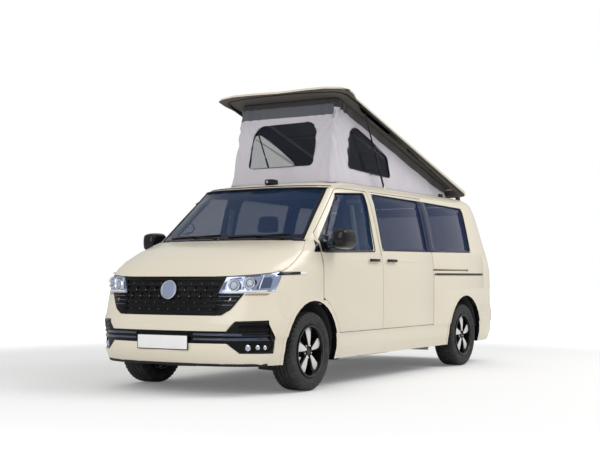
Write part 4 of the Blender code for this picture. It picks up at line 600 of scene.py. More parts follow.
def flipped(outline: tuple[Point, ...], sign: int) -> tuple[Point, ...]:
    """An outline of (X, height) points on the left or right half of the van."""
    return tuple((sign * x, z) for x, z in outline)


class Facing(Enum):
    """The way a flat outline faces, with its outward direction."""

    LEFT = (1, 0, 0)
    RIGHT = (-1, 0, 0)
    FRONT = (0, -1, 0)
    REAR = (0, 1, 0)
    TOP = (0, 0, 1)
    UNDER = (0, 0, -1)

    def point(self, u: float, v: float, depth: float) -> Vector:
        """The point of an outline's (u, v) at a depth along the facing's axis.

        Args:
            u: the place behind the nose for a side, or else X.
            v: the place behind the nose for the top, or else the height.
            depth: the coordinate along the facing's axis.
        Returns:
            The point in the van's frame.
        """
        if self in (Facing.LEFT, Facing.RIGHT):
            return spot_at(depth, u, v)
        if self in (Facing.FRONT, Facing.REAR):
            return Vector((u, depth, v))
        return spot_at(u, v, depth)

    @property
    def axis(self) -> int:
        """The index of the facing's axis."""
        return next(i for i, share in enumerate(self.value) if share)

    @property
    def sign(self) -> int:
        """The outward sign along that axis."""
        return self.value[self.axis]

    @staticmethod
    def of(side: Side) -> "Facing":
        """The facing of a side of the van."""
        return Facing.LEFT if side is Side.LEFT else Facing.RIGHT


class Surface:
    """The outer surface of some solids, found along rays from outside."""

    def __init__(self, *nodes: str) -> None:
        """Read the triangles of the named nodes."""
        corners, faces = [], []
        for node in nodes:
            mesh = frame["nodes"][node].data
            start = len(corners)
            corners += [v.co.copy() for v in mesh.vertices]
            faces += [[start + i for i in p.vertices] for p in mesh.polygons]
        self.tree = BVHTree.FromPolygons(corners, faces)

    def depth(self, facing: Facing, u: float, v: float) -> float | None:
        """Where a ray from outside meets the solids, along the facing's axis."""
        start = facing.point(u, v, facing.sign * 6)
        hit = self.tree.ray_cast(start, -Vector(facing.value), 12)[0]
        return None if hit is None else hit[facing.axis]

    def point(self, facing: Facing, u: float, v: float, lift: float = 0) -> Vector:
        """The point that lies a lift outside the surface."""
        depth = self.depth(facing, u, v)
        if depth is None:
            near = self.tree.find_nearest(facing.point(u, v, facing.sign * 1.0))[0]
            depth = near[facing.axis]
        return facing.point(u, v, depth + facing.sign * lift)


@dataclass
class Plate:
    """A plate cut to a convex outline, bent on to a surface or held flat."""

    outline: tuple[Point, ...]
    facing: Facing
    thickness: float = 0.002
    corner: float = 0.0
    pitch: float = 0.06
    lift: float = 0.0005
    surface: Surface | None = None
    depth: float = 0.0
    edge: float = 0.0

    def build(self) -> bpy.types.Object:
        """Cut the plate, bend it and thicken it outwards.

        Returns:
            The plate, not yet named or dressed.
        """
        us, vs = zip(*self.outline)
        low, high = (min(us), min(vs)), (max(us), max(vs))
        middle = ((low[0] + high[0]) / 2, (low[1] + high[1]) / 2)
        bpy.ops.object.select_all(action="DESELECT")
        bpy.ops.mesh.primitive_plane_add(size=1, location=(*middle, 0))
        obj = bpy.context.active_object
        obj.scale = (high[0] - low[0], high[1] - low[1], 1)
        bpy.ops.object.transform_apply(location=True, rotation=True, scale=True)
        with editing():
            self._cut()
            if self.corner:
                bpy.ops.mesh.select_all(action="SELECT")
                bpy.ops.mesh.bevel(affect="VERTICES", offset=self.corner, segments=5)
            if self.surface:
                self._divide(low, high)
        self._bend(obj)
        modifier(obj, "SOLIDIFY", thickness=self.thickness, offset=1)
        if self.edge:
            modifier(obj, "BEVEL", width=self.edge, segments=2, limit_method="ANGLE",
                     angle_limit=math.radians(50))
        return smooth(obj, 40)

    def _cut(self) -> None:
        """Trim the square by each side of the outline."""
        points = list(self.outline)
        area = sum(a[0] * b[1] - b[0] * a[1] for a, b in zip(points, points[1:] + points[:1]))
        if area < 0:
            points.reverse()
        for a, b in zip(points, points[1:] + points[:1]):
            bpy.ops.mesh.select_all(action="SELECT")
            bpy.ops.mesh.bisect(plane_co=(*a, 0), plane_no=(b[1] - a[1], a[0] - b[0], 0),
                                clear_outer=True, use_fill=False, threshold=0.000001)

    def _divide(self, low: Point, high: Point) -> None:
        """Cut the plate by a grid, so that it can bend."""
        for axis in (0, 1):
            steps = int((high[axis] - low[axis]) / self.pitch)
            for i in range(1, steps + 1):
                place = [0.0, 0.0, 0.0]
                normal = [0.0, 0.0, 0.0]
                place[axis] = low[axis] + (high[axis] - low[axis]) * i / (steps + 1)
                normal[axis] = 1.0
                bpy.ops.mesh.select_all(action="SELECT")
                bpy.ops.mesh.bisect(plane_co=place, plane_no=normal, threshold=0.000001)

    def _bend(self, obj: bpy.types.Object) -> None:
        """Move the plate's points on to the surface, and face it outwards."""
        mesh = obj.data
        for vertex in mesh.vertices:
            u, v = vertex.co.x, vertex.co.y
            if self.surface:
                vertex.co = self.surface.point(self.facing, u, v, self.lift)
            else:
                vertex.co = self.facing.point(u, v, self.depth)
        mesh.update()
        outward = Vector(self.facing.value)
        if sum((p.normal.dot(outward) * p.area for p in mesh.polygons), 0.0) < 0:
            mesh.flip_normals()


@dataclass
class Rod:
    """A round bar or seal along a line of points."""

    points: list[Vector]
    radius: float
    closed: bool = False
    sides: int = 2

    def build(self) -> bpy.types.Object:
        """Sweep a circle along the line.

        Returns:
            The rod, not yet named or dressed.
        """
        curve = bpy.data.curves.new("rod", "CURVE")
        curve.dimensions = "3D"
        curve.bevel_depth = self.radius
        curve.bevel_resolution = self.sides
        curve.use_fill_caps = not self.closed
        spline = curve.splines.new("POLY")
        spline.points.add(len(self.points) - 1)
        for place, point in zip(spline.points, self.points):
            place.co = (*point, 1)
        spline.use_cyclic_u = self.closed
        obj = bpy.data.objects.new("rod", curve)
        bpy.context.scene.collection.objects.link(obj)
        alone(obj)
        bpy.ops.object.convert(target="MESH")
        obj = bpy.context.active_object
        with editing():
            bpy.ops.mesh.remove_doubles(threshold=0.00001)
            bpy.ops.mesh.normals_make_consistent(inside=False)
        return smooth(obj, 50)


@dataclass
class Block:
    """A box with rounded edges, between two corners given as X, place and height."""

    low: Point3
    high: Point3
    rounding: float = 0.004
    segments: int = 3

    def build(self) -> bpy.types.Object:
        """Add the box and round it.

        Returns:
            The block, not yet named or dressed.
        """
        centre = [(a + b) / 2 for a, b in zip(self.low, self.high)]
        centre[1] = along(centre[1])
        bpy.ops.object.select_all(action="DESELECT")
        bpy.ops.mesh.primitive_cube_add(size=1, location=centre)
        obj = bpy.context.active_object
        obj.scale = [abs(b - a) for a, b in zip(self.low, self.high)]
        bpy.ops.object.transform_apply(location=True, rotation=True, scale=True)
        with editing():
            bpy.ops.mesh.bevel(offset=self.rounding, segments=self.segments, affect="EDGES")
        return smooth(obj, 40)


@dataclass
class Turned:
    """A piece turned round its local Z from a profile of (radius, height) points."""

    profile: tuple[Point, ...]
    steps: int = 48
    closed: bool = False

    def build(self, place: Matrix = Matrix.Identity(4)) -> bpy.types.Object:
        """Extrude ring after ring, close the ends and put the piece in place.

        Args:
            place: where the local frame goes.
        Returns:
            The piece, not yet named or dressed.
        """
        radius, height = self.profile[0]
        bpy.ops.object.select_all(action="DESELECT")
        bpy.ops.mesh.primitive_circle_add(vertices=self.steps, radius=radius, location=(0, 0, height))
        obj = bpy.context.active_object
        bpy.ops.object.transform_apply(location=True, rotation=True, scale=True)
        with editing():
            bpy.ops.mesh.select_mode(type="EDGE")
            bpy.ops.mesh.select_all(action="SELECT")
            if not self.closed:
                bpy.ops.mesh.edge_face_add()
            last = self.profile[0]
            for radius, height in self.profile[1:]:
                bpy.ops.mesh.extrude_edges_move(TRANSFORM_OT_translate={"value": (0, 0, height - last[1])})
                share = radius / last[0]
                bpy.ops.transform.resize(value=(share, share, 1), center_override=(0, 0, height))
                last = (radius, height)
            if self.closed:
                bpy.ops.mesh.select_all(action="SELECT")
                bpy.ops.mesh.region_to_loop()
                bpy.ops.mesh.bridge_edge_loops()
            else:
                bpy.ops.mesh.edge_face_add()
            bpy.ops.mesh.select_all(action="SELECT")
            bpy.ops.mesh.normals_make_consistent(inside=False)
        obj.data.transform(place)
        return smooth(obj, 40)


def joined(objs: list[bpy.types.Object]) -> bpy.types.Object:
    """Join loose pieces into one object."""
    alone(*objs)
    if len(objs) > 1:
        bpy.ops.object.join()
    return bpy.context.active_object


def copied(obj: bpy.types.Object, matrix: Matrix) -> bpy.types.Object:
    """A copy with its own mesh, put through a matrix, its faces outwards."""
    other = obj.copy()
    other.data = obj.data.copy()
    other.parent = None
    for key in list(other.keys()):
        del other[key]
    bpy.context.scene.collection.objects.link(other)
    other.data.transform(matrix)
    if matrix.determinant() < 0:
        other.data.flip_normals()
    return other


def mirrored(obj: bpy.types.Object) -> bpy.types.Object:
    """A copy on the other side of the van."""
    return copied(obj, Matrix.Scale(-1, 4, (1, 0, 0)))


def upright(centre: Point3, outward: Point3) -> Matrix:
    """A frame at a centre with its Z along a direction."""
    turn = Vector(outward).to_track_quat("Z", "Y").to_matrix().to_4x4()
    return Matrix.Translation(Vector(centre)) @ turn


def paint_faces(obj: bpy.types.Object, slot: int, chosen: Callable[[bpy.types.MeshPolygon], bool]) -> None:
    """Give the faces that pass a test another material slot."""
    for face in obj.data.polygons:
        if chosen(face):
            face.material_index = slot


# Wheels


@dataclass
class Wheel:
    """A road wheel: treaded tyre, black rim with bright petals, and a hub cap."""

    radius: float = TYRE_RADIUS
    half_width: float = 0.1175
    centre_x: float = HALF_TRACK
    steps: int = 240
    groove: float = 0.007
    lug_groove: float = 0.005
    lug_from: float = 0.322
    rib_half: float = 0.016
    shoulder: float = 0.066
    petals: int = 5
    petal: tuple[Point, ...] = ((0.046, 0.009), (0.110, 0.032), (0.172, 0.052), (0.190, 0.049), (0.202, 0.030),
                                (0.204, -0.012), (0.165, -0.030), (0.100, -0.021), (0.046, -0.009))
    spoke_at: float = 0.13
    bolt_circle: float = 0.056

    def profile(self) -> tuple[Point, ...]:
        """The tyre's cross-section from the outer bead over the tread to the inner bead."""
        w, r, g = self.half_width, self.radius, self.groove
        half = [(0.220, 0.088), (0.226, 0.096), (0.232, 0.095), (0.234, 0.100), (0.250, 0.109),
                (0.272, 0.1145), (0.276, 0.1165), (0.280, 0.1150), (0.300, 0.1160), (0.318, 0.1120),
                (0.330, 0.1060), (0.336, 0.1020), (0.3405, 0.0930), (0.3430, 0.0800)]
        tread = [(r - 0.001, 0.062), (r - 0.001 - g, 0.060), (r - 0.001 - g, 0.053), (r - 0.0005, 0.051),
                 (r, 0.022), (r - g, 0.020), (r - g, 0.012), (r, 0.010)]
        side = [(a, b * w / 0.1175) for a, b in half + tread]
        return tuple(side + [(a, -b) for a, b in reversed(side)] + [(0.222, -0.060), (0.222, 0.060)])

    def tyre(self, place: Matrix) -> bpy.types.Object:
        """Turn the tyre and press its cross grooves in."""
        obj = Turned(self.profile(), self.steps, closed=True).build()
        for vertex in obj.data.vertices:
            x, y, z = vertex.co
            radius = math.hypot(x, y)
            if radius < self.lug_from or abs(z) < self.rib_half:
                continue
            turn = round(math.atan2(y, x) * self.steps / (2 * math.pi)) % self.steps
            lug = abs(z) > self.shoulder
            period, width = (5, 2) if lug else (4, 1)
            if (turn + (2 if z > 0 else 0)) % period < width:
                depth = self.lug_groove * (1.6 if lug else 1.0)
                share = (radius - depth) / radius
                vertex.co.x, vertex.co.y = x * share, y * share
        obj.data.update()
        obj.data.transform(place)
        return smooth(obj, 20)

    def petals_on(self, surface: Surface, facing: Facing, centre: Point) -> bpy.types.Object:
        """Bright faced petals over the rim's spokes.

        Args:
            surface: the rim's surface.
            facing: the side that the rim faces.
            centre: the wheel's centre as place and height.
        Returns:
            The petals as one piece.
        """
        plates = []
        for i in range(self.petals):
            turn = 2 * math.pi * (i + 0.25) / self.petals
            outline = tuple((centre[0] + r * math.cos(turn) - t * math.sin(turn),
                             centre[1] + r * math.sin(turn) + t * math.cos(turn)) for r, t in self.petal)
            depth = surface.depth(facing, centre[0] + self.spoke_at * math.cos(turn),
                                  centre[1] + self.spoke_at * math.sin(turn))
            plate = Plate(outline, facing, 0.006, depth=depth + facing.sign * 0.004, edge=0.0015).build()
            for vertex in plate.data.vertices:
                reach = math.hypot(vertex.co.y - along(centre[0]), vertex.co.z - centre[1])
                vertex.co.x -= facing.sign * 0.008 * max(reach - 0.10, 0) ** 2 / 0.01
            plates.append(plate)
        return joined(plates)

    def build(self, panels: Panels) -> None:
        """Dress all four wheels."""
        for axle, place in AXLES.items():
            for side in Side:
                name = f"{axle}_{side.word}"
                body = f"wheel_{name}"
                x = side.value
                at = upright((x * self.centre_x, along(place), self.radius), (x, 0, 0))
                tyre = settled(self.tyre(at), f"tyre_{name}_tread", body, "tyre_rubber")
                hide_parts(f"tyre_{name}")
                rim = panels.build(f"rim_{name}", 0.002)
                dressed(rim, "gloss_black")
                surface = Surface(f"rim_{name}")
                facing = Facing.of(side)
                centre = (place, self.radius)
                petals = self.petals_on(surface, facing, centre)
                settled(petals, f"rim_{name}_petals", body, "petal_silver")
                hub = surface.depth(facing, *centre)
                cap = Turned(((0.031, -0.002), (0.031, 0.004), (0.028, 0.008), (0.021, 0.0085),
                              (0.019, 0.007), (0.010, 0.0075)), 40)
                cap_at = upright((hub, along(place), self.radius), (x, 0, 0))
                settled(cap.build(cap_at), f"hub_cap_{name}", body, "gloss_black")
                bolts = []
                for i in range(self.petals):
                    turn = 2 * math.pi * (i + 0.75) / self.petals
                    spot = (place + self.bolt_circle * math.cos(turn),
                            self.radius + self.bolt_circle * math.sin(turn))
                    depth = surface.depth(facing, *spot) or hub
                    bolt_at = upright((depth, along(spot[0]), spot[1]), (x, 0, 0))
                    bolts.append(Turned(((0.009, -0.003), (0.009, 0.005), (0.0075, 0.007), (0.004, 0.007)),
                                        6).build(bolt_at))
                settled(joined(bolts), f"wheel_bolts_{name}", body, "bright_steel")
                stem_at = upright((x * (self.centre_x + 0.088), along(place + 0.190), self.radius), (x, 0, 0))
                stem = Turned(((0.004, -0.010), (0.004, 0.012), (0.0045, 0.013), (0.0045, 0.020),
                               (0.003, 0.021)), 12).build(stem_at)
                settled(stem, f"valve_{name}", body, "black_plastic")


# The raised roof


@dataclass
class RaisedRoof:
    """The tilted roof panel, its lining, its fabric walls with their windows, and its struts."""

    hinge: Point = POP_HINGE
    angle: float = POP_ANGLE
    under: float = 1.950
    rim_split: float = 1.9535
    edge_top: float = 1.961
    crown: float = 1.995
    edge_rise: float = 0.015
    rise_start: float = 2.10
    rise_length: float = 0.50
    panel_half_width: float = 0.735
    nose_start: float = 2.012
    nose_bow: float = 0.300
    nose_power: float = 4.0
    foot: float = 1.9083
    front: float = 1.867
    rear: float = 4.620
    top_front: float = 2.040
    half_width: float = 0.598
    top_half_width: float = 0.570
    wall: float = 0.0016
    columns: float = 0.022
    # Depths below the roof of the painted shadow bands on the fabric: grey then dark on the front wall, dark on the
    # sides.
    grey_band: float = 0.160
    dark_band: float = 0.052
    side_band: float = 0.085
    window_corner: float = 0.045
    film_margin: float = 0.016
    dip: float = 0.012
    front_window: tuple[Point, ...] = ((-0.395, 2.078), (0.362, 2.086), (0.360, 2.440), (0.300, 2.525),
                                       (-0.300, 2.516), (-0.375, 2.430))
    side_window: tuple[Point, ...] = ((2.215, 2.070), (3.150, 2.036), (3.106, 2.254), (2.756, 2.390),
                                      (2.409, 2.497), (2.300, 2.470), (2.262, 2.385))

    def tilted(self, place: float, height: float) -> Point:
        """A point of the flat roof panel once it is raised, as place and height."""
        s, z = place - self.hinge[0], height - self.hinge[1]
        cos, sin = math.cos(self.angle), math.sin(self.angle)
        return (self.hinge[0] + s * cos + z * sin, self.hinge[1] - s * sin + z * cos)

    def head(self, place: float) -> float:
        """The height of the raised panel's underside at a place."""
        return (self.hinge[1] + (self.under - self.hinge[1]) / math.cos(self.angle)
                + (self.hinge[0] - place) * math.tan(self.angle))

    def loop(self) -> list[tuple[Point, Point, float, bool]]:
        """The wall's line as (foot (x, place), head (x, place), way round, on the front wall)."""
        r, inset = 0.045, self.half_width - self.top_half_width
        corners = [(self.half_width, self.rear), (self.half_width, self.front),
                   (-self.half_width, self.front), (-self.half_width, self.rear)]
        path: list[tuple[float, float, bool]] = []
        for i, (a, b) in enumerate(zip(corners, corners[1:] + corners[:1])):
            span = math.hypot(b[0] - a[0], b[1] - a[1])
            ux, us = (b[0] - a[0]) / span, (b[1] - a[1]) / span
            steps = max(int((span - 2 * r) / self.columns), 4)
            for k in range(steps + 1):
                t = r + (span - 2 * r) * k / steps
                path.append((a[0] + ux * t, a[1] + us * t, i == 1))
            c = (corners + corners)[i + 1]
            nxt = (corners + corners)[i + 2]
            length = math.hypot(nxt[0] - c[0], nxt[1] - c[1])
            vx, vs = (nxt[0] - c[0]) / length, (nxt[1] - c[1]) / length
            for k in range(1, 5):
                turn = math.pi / 2 * k / 5
                back, onward = r * (1 - math.sin(turn)), r * (1 - math.cos(turn))
                path.append((c[0] - ux * back + vx * onward, c[1] - us * back + vs * onward, i == 1))
        rows = []
        way = 0.0
        last = path[0]
        for x, s, on_front in path:
            way += math.hypot(x - last[0], s - last[1])
            last = (x, s)
            share = (s - self.front) / (self.rear - self.front)
            top_s = self.top_front + share * (self.rear - 0.012 - self.top_front)
            top_x = x * (self.half_width - inset) / self.half_width
            rows.append(((x, s), (top_x, top_s), way, on_front))
        return rows

    def fold(self, x: float, place: float, rise: float, way: float) -> float:
        """How far the fabric stands out at a point: creases fan out from the front corners.

        Args:
            x: X.
            place: the place behind the nose.
            rise: the share of the wall's height.
            way: the distance round the wall.
        Returns:
            The outward displacement in metres.
        """
        to_corner = math.hypot(abs(x) - self.half_width, place - self.front)
        fan = math.exp(-((to_corner / 0.34) ** 2))
        angle = math.atan2(to_corner + 0.02, 1.15 - rise)
        crease = math.sin(angle * 46 + (0.8 if x > 0 else 2.1))
        held = min(rise / 0.07, 1) * min((1 - rise) / 0.05, 1)
        slack = 0.0022 * math.sin(way * 9.0 + rise * 2.4) + 0.0014 * math.sin(way * 23.0 - rise * 5.0)
        billow = -self.dip * math.sin(math.pi * rise)
        return held * (fan * crease * 0.0165 * (0.30 + rise) + slack * 1.6) + billow * held

    def outward(self, x: float, place: float, on_front: bool, cornered: bool) -> Vector:
        """The way the fabric faces at a point of its foot.

        Args:
            x: X.
            place: the place behind the nose.
            on_front: whether it is on the front wall.
            cornered: whether it is near a side wall.
        Returns:
            The direction, shorter than 1 at the front corners.
        """
        corner = 0.05
        if cornered and place < self.front + corner:
            return Vector((math.copysign(0.7, x), -0.7, 0))
        if not on_front and place > self.rear - corner and abs(x) < self.half_width - corner:
            return Vector((0, 1, 0))
        return Vector((0, -1, 0)) if on_front else Vector((math.copysign(1, x), 0, 0))

    def window_solid(self, outline: tuple[Point, ...], facing: Facing, depth: float) -> bpy.types.Object:
        """A prism through a wall at a window."""
        return Plate(outline, facing, 0.60, corner=self.window_corner, depth=depth).build()

    def wall_cloth(self) -> bpy.types.Object:
        """The fabric wall as one sheet, whose windows are cut afterwards."""
        rows = self.loop()
        shares = [0, 0.03, 0.07, 0.11] + [0.15 + 0.85 * i / 20 for i in range(21)]
        mesh = bpy.data.meshes.new("fabric")
        points, faces, kinds = [], [], []
        bands = len(shares) + 4
        for (x, s), (tx, ts), way, on_front in rows:
            top = self.head(ts) - 0.0006
            full = top - self.foot
            # Each column ends in bands of painted shadow under the roof: a grey band then a dark band on the front
            # wall, one dark band on the sides.
            band = min(self.grey_band, full * 0.5) if on_front else min(self.side_band, full * 0.5)
            dark = min(self.dark_band, full * 0.3) if on_front else band
            heights = [self.foot + (full - band) * k for k in shares]
            heights += [top - band + (band - dark) * 0.5, top - dark, top - dark * 0.5, top]
            for height in heights:
                rise = (height - self.foot) / full
                px, ps = x + (tx - x) * rise, s + (ts - s) * rise
                out = self.fold(px, ps, rise, way)
                normal = self.outward(x, s, on_front, abs(px) > 0.96 * self.half_width)
                points.append(spot_at(px, ps, height) + normal * out)
        for i in range(len(rows)):
            for k in range(bands - 1):
                a, b = i * bands + k, ((i + 1) % len(rows)) * bands + k
                faces.append((a, a + 1, b + 1, b))
                front = rows[i][3]
                # Slots: the plain canvas, the grey band of painted shadow and the dark band of painted shadow.
                kinds.append((2 if k >= bands - 3 else 1 if k >= len(shares) - 1 else 0) if front
                             else (2 if k >= len(shares) - 1 else 0))
        mesh.from_pydata(points, [], faces)
        mesh.update()
        obj = bpy.data.objects.new("fabric", mesh)
        bpy.context.scene.collection.objects.link(obj)
        for face, kind in zip(mesh.polygons, kinds):
            face.material_index = kind
        alone(obj)
        with editing():
            bpy.ops.mesh.normals_make_consistent(inside=False)
        front_face = max(mesh.polygons, key=lambda f: -f.center.y)
        if front_face.normal.y > 0:
            mesh.flip_normals()
        dressed(obj, "canvas", "band_grey", "band_dark", "lining_cloth")
        modifier(obj, "SOLIDIFY", thickness=self.wall, offset=-1, material_offset=3)
        return obj

    def open_window(self, obj: bpy.types.Object, tool: bpy.types.Object) -> None:
        """Cut a window through the fabric."""
        alone(obj)
        step = obj.modifiers.new("window", "BOOLEAN")
        step.operation = "DIFFERENCE"
        step.solver = "EXACT"
        step.object = tool
        bpy.ops.object.modifier_apply(modifier=step.name)
        bpy.data.objects.remove(tool)

    def folds_with_roof(self, obj: bpy.types.Object, name: str, *finishes: str) -> bpy.types.Object:
        """Settle a piece of the wall on the van's body, with a mesh of its own."""
        settled(obj, name, "root", *finishes)
        along(self.hinge[0])
        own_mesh(obj)
        return obj

    def walls(self) -> None:
        """The fabric and its window films and hems."""
        cloth = self.wall_cloth()
        self.open_window(cloth, self.window_solid(self.front_window, Facing.FRONT, along(self.front + 0.3)))
        for facing, depth in ((Facing.LEFT, 0.35), (Facing.RIGHT, -0.35)):
            self.open_window(cloth, self.window_solid(self.side_window, facing, depth))
        smooth(cloth, 60)
        rise_front = (self.top_front - self.front) / (self.head(self.top_front) - self.foot)
        films, hems = [], []
        wide = self.film_margin
        for outline, facing in ((self.front_window, Facing.FRONT), (self.side_window, Facing.LEFT),
                                (self.side_window, Facing.RIGHT)):
            middle = [sum(p[i] for p in outline) / len(outline) for i in (0, 1)]
            grown = tuple((u + math.copysign(wide, u - middle[0]), v + math.copysign(wide, v - middle[1]))
                          for u, v in outline)
            film = Plate(grown, facing, 0.0008, corner=0.05, pitch=0.09, surface=None).build()
            rim = Plate(outline, facing, 0.001, corner=self.window_corner).build()
            bent = [self._on_wall(facing, u, v, 0.004, rise_front) for u, v in self._edge_line(rim)]
            bpy.data.objects.remove(rim)
            hems.append(Rod(bent, 0.0035, closed=True).build())
            for vertex in film.data.vertices:
                u = vertex.co.x if facing is Facing.FRONT else vertex.co.y - NOSE
                vertex.co = self._on_wall(facing, u, vertex.co.z, -0.006, rise_front)
            films.append(film)
        film = self.folds_with_roof(joined(films), "canvas_window_films", "window_film")
        hem = self.folds_with_roof(joined(hems), "canvas_window_hems", "band_dark")
        self.folds_with_roof(cloth, "canvas_walls")
        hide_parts("canvas")
        girth = self.loop()[-1][2] + 0.05
        drop = (self.head(self.top_front) - self.foot) * 1.03

    def _edge_line(self, plate: bpy.types.Object) -> list[Point]:
        """A plate's outline as (u, v) points in order."""
        biggest = max(plate.data.polygons, key=lambda f: f.area)
        spots = [plate.data.vertices[i].co for i in biggest.vertices]
        flat = abs(biggest.normal.y) > 0.5
        return [((p.x if flat else p.y - NOSE), p.z) for p in spots]

    def _on_wall(self, facing: Facing, u: float, v: float, lift: float, lean: float) -> Vector:
        """A point on the fabric's mean surface, moved out by a lift."""
        rise = v - self.foot
        if facing is Facing.FRONT:
            share = rise / (self.head(self.top_front) - self.foot)
            dip = self.dip * math.sin(math.pi * min(max(share, 0), 1))
            return Vector((u, along(self.front + rise * lean) + dip - lift, v))
        share = rise / (self.head(u) - self.foot)
        inset = (self.half_width - self.top_half_width) * share
        dip = self.dip * math.sin(math.pi * min(max(share, 0), 1))
        x = self.half_width - inset - dip + lift
        return spot_at(facing.sign * x, u, v)

    def panel(self, panels: Panels) -> None:
        """The roof panel: pale above, black at the rim and below, with a lining."""
        obj = panels.copy("pop_top")
        mesh = obj.data
        hinge = spot_at(0, *self.hinge)
        flat = Matrix.Translation(hinge) @ Matrix.Rotation(self.angle, 4, "X") @ Matrix.Translation(-hinge)
        mesh.transform(flat)
        for vertex in mesh.vertices:
            if vertex.co.z > self.edge_top - 0.006:
                share = (vertex.co.z - self.edge_top) / (self.crown - self.edge_top)
                back = (vertex.co.y - NOSE - self.rise_start) / self.rise_length
                vertex.co.z += self.edge_rise * min(max(back, 0), 1) * min(max(1 - share, 0), 1)
            u = abs(vertex.co.x) / self.panel_half_width
            w = (self.nose_start - vertex.co.y + NOSE) / self.nose_bow
            if w > 0:
                share = math.hypot(u, w) / (u ** self.nose_power + w ** self.nose_power) ** (1 / self.nose_power)
                vertex.co.x *= share
                vertex.co.y = along(self.nose_start - self.nose_bow * w * share)
        alone(obj)
        with editing():
            bpy.ops.mesh.bisect(plane_co=(0, 0, self.rim_split), plane_no=(0, 0, 1))
        modifier(obj, "BEVEL", width=0.004, segments=3, limit_method="ANGLE", angle_limit=math.radians(32))
        dressed(obj, "roof_shell", "roof_black", "roof_under")
        paint_faces(obj, 1, lambda f: f.center.z < self.rim_split + 0.0004 or f.normal.z < -0.85)
        paint_faces(obj, 2, lambda f: f.normal.z < -0.9)
        smooth(obj, 35)
        lining = Block((-0.560, 1.98, self.under + 0.0135), (0.560, 4.70, self.under + 0.0165),
                       0.001, 1).build()
        seal = Rod([spot_at(x * 0.700, s, self.under - 0.001) for x, s in
                    ((1, 4.86), (1, 2.05), (0.985, 1.90), (0.95, 1.82), (0.85, 1.785), (0.55, 1.758), (0.28, 1.745),
                     (0, 1.742), (-0.28, 1.745), (-0.55, 1.758), (-0.85, 1.785), (-0.95, 1.82), (-0.985, 1.90),
                     (-1, 2.05), (-1, 4.86))], 0.006).build()
        ribs = [Block((-0.54, s - 0.03, self.under + 0.005), (0.54, s + 0.03, self.under + 0.016),
                      0.003).build() for s in (2.30, 2.85, 3.40, 3.95, 4.50)]
        for piece in (obj, lining, seal, *ribs):
            piece.data.transform(flat.inverted())
        settled(obj, "pop_top_skin", "pop_top")
        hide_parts("pop_top")
        settled(lining, "roof_lining", "pop_top", "band_dark")
        settled(seal, "roof_seal", "pop_top", "black_plastic")
        settled(joined(ribs), "roof_bows", "pop_top", "band_dark")

    def fittings(self, roof: Surface) -> None:
        """The latch housing and knob, hinge brackets and foot rail."""
        low = roof.point(Facing.TOP, 0.045, 1.66).z
        parts = [Block((-0.013, 1.605, low - 0.004), (0.086, 1.715, low + 0.052), 0.016).build(),
                 Block((0.004, 1.590, low + 0.012), (0.070, 1.612, low + 0.036), 0.006).build()]
        settled(joined(parts), "roof_latch", "root", "black_plastic")
        knob = Turned(((0.012, 0), (0.012, 0.010), (0.009, 0.013)), 20).build(
            upright((0.037, along(1.588), low + 0.024), (0, -1, 0)))
        settled(knob, "roof_latch_knob", "root", "alloy")
        brackets = []
        for side in Side:
            for s in (4.30, 4.80):
                top = roof.point(Facing.TOP, side.value * 0.655, s).z
                brackets.append(Block((side.value * 0.655 - 0.012, s - 0.045, top - 0.004),
                                      (side.value * 0.655 + 0.012, s + 0.045, top + 0.034), 0.004).build())
        settled(joined(brackets), "roof_hinge_brackets", "root", "black_plastic")
        rail = []
        for x in (-1, 1):
            line = [spot_at(x * (self.half_width + 0.006), s, self.foot + 0.004)
                    for s in (self.front + 0.04, 2.6, 3.4, 4.2, self.rear - 0.03)]
            rail.append(Rod(line, 0.006).build())
        rail.append(Rod([spot_at(x, self.front - 0.006, self.foot + 0.004) for x in
                         (-0.56, -0.3, 0, 0.3, 0.56)], 0.006).build())
        settled(joined(rail), "fabric_foot_rail", "root", "alloy")

    def struts(self, panels: Panels) -> None:
        """The gas struts, all black, with a sleeve on each rod."""
        for side in Side:
            cylinder = panels.build(f"strut_cylinder_{side.word}", 0.002)
            dressed(cylinder, "gloss_black")
            rod = panels.build(f"strut_rod_{side.word}", 0.001)
            dressed(rod, "gloss_black")
            low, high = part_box(f"strut_rod_{side.word}")
            x = (low.x + high.x) / 2
            foot, tip = Vector((x, high.y - 0.02, low.z + 0.03)), Vector((x, low.y + 0.02, high.z - 0.03))
            sleeve = Rod([foot.lerp(tip, 0.15), foot.lerp(tip, 0.72)], 0.0075, sides=3).build()
            settled(sleeve, f"strut_sleeve_{side.word}", f"strut_rod_{side.word}", "gloss_black")

    def build(self, panels: Panels, roof: Surface) -> None:
        """Build the whole raised roof."""
        self.walls()
        self.panel(panels)
        self.fittings(roof)
        self.struts(panels)


# The front


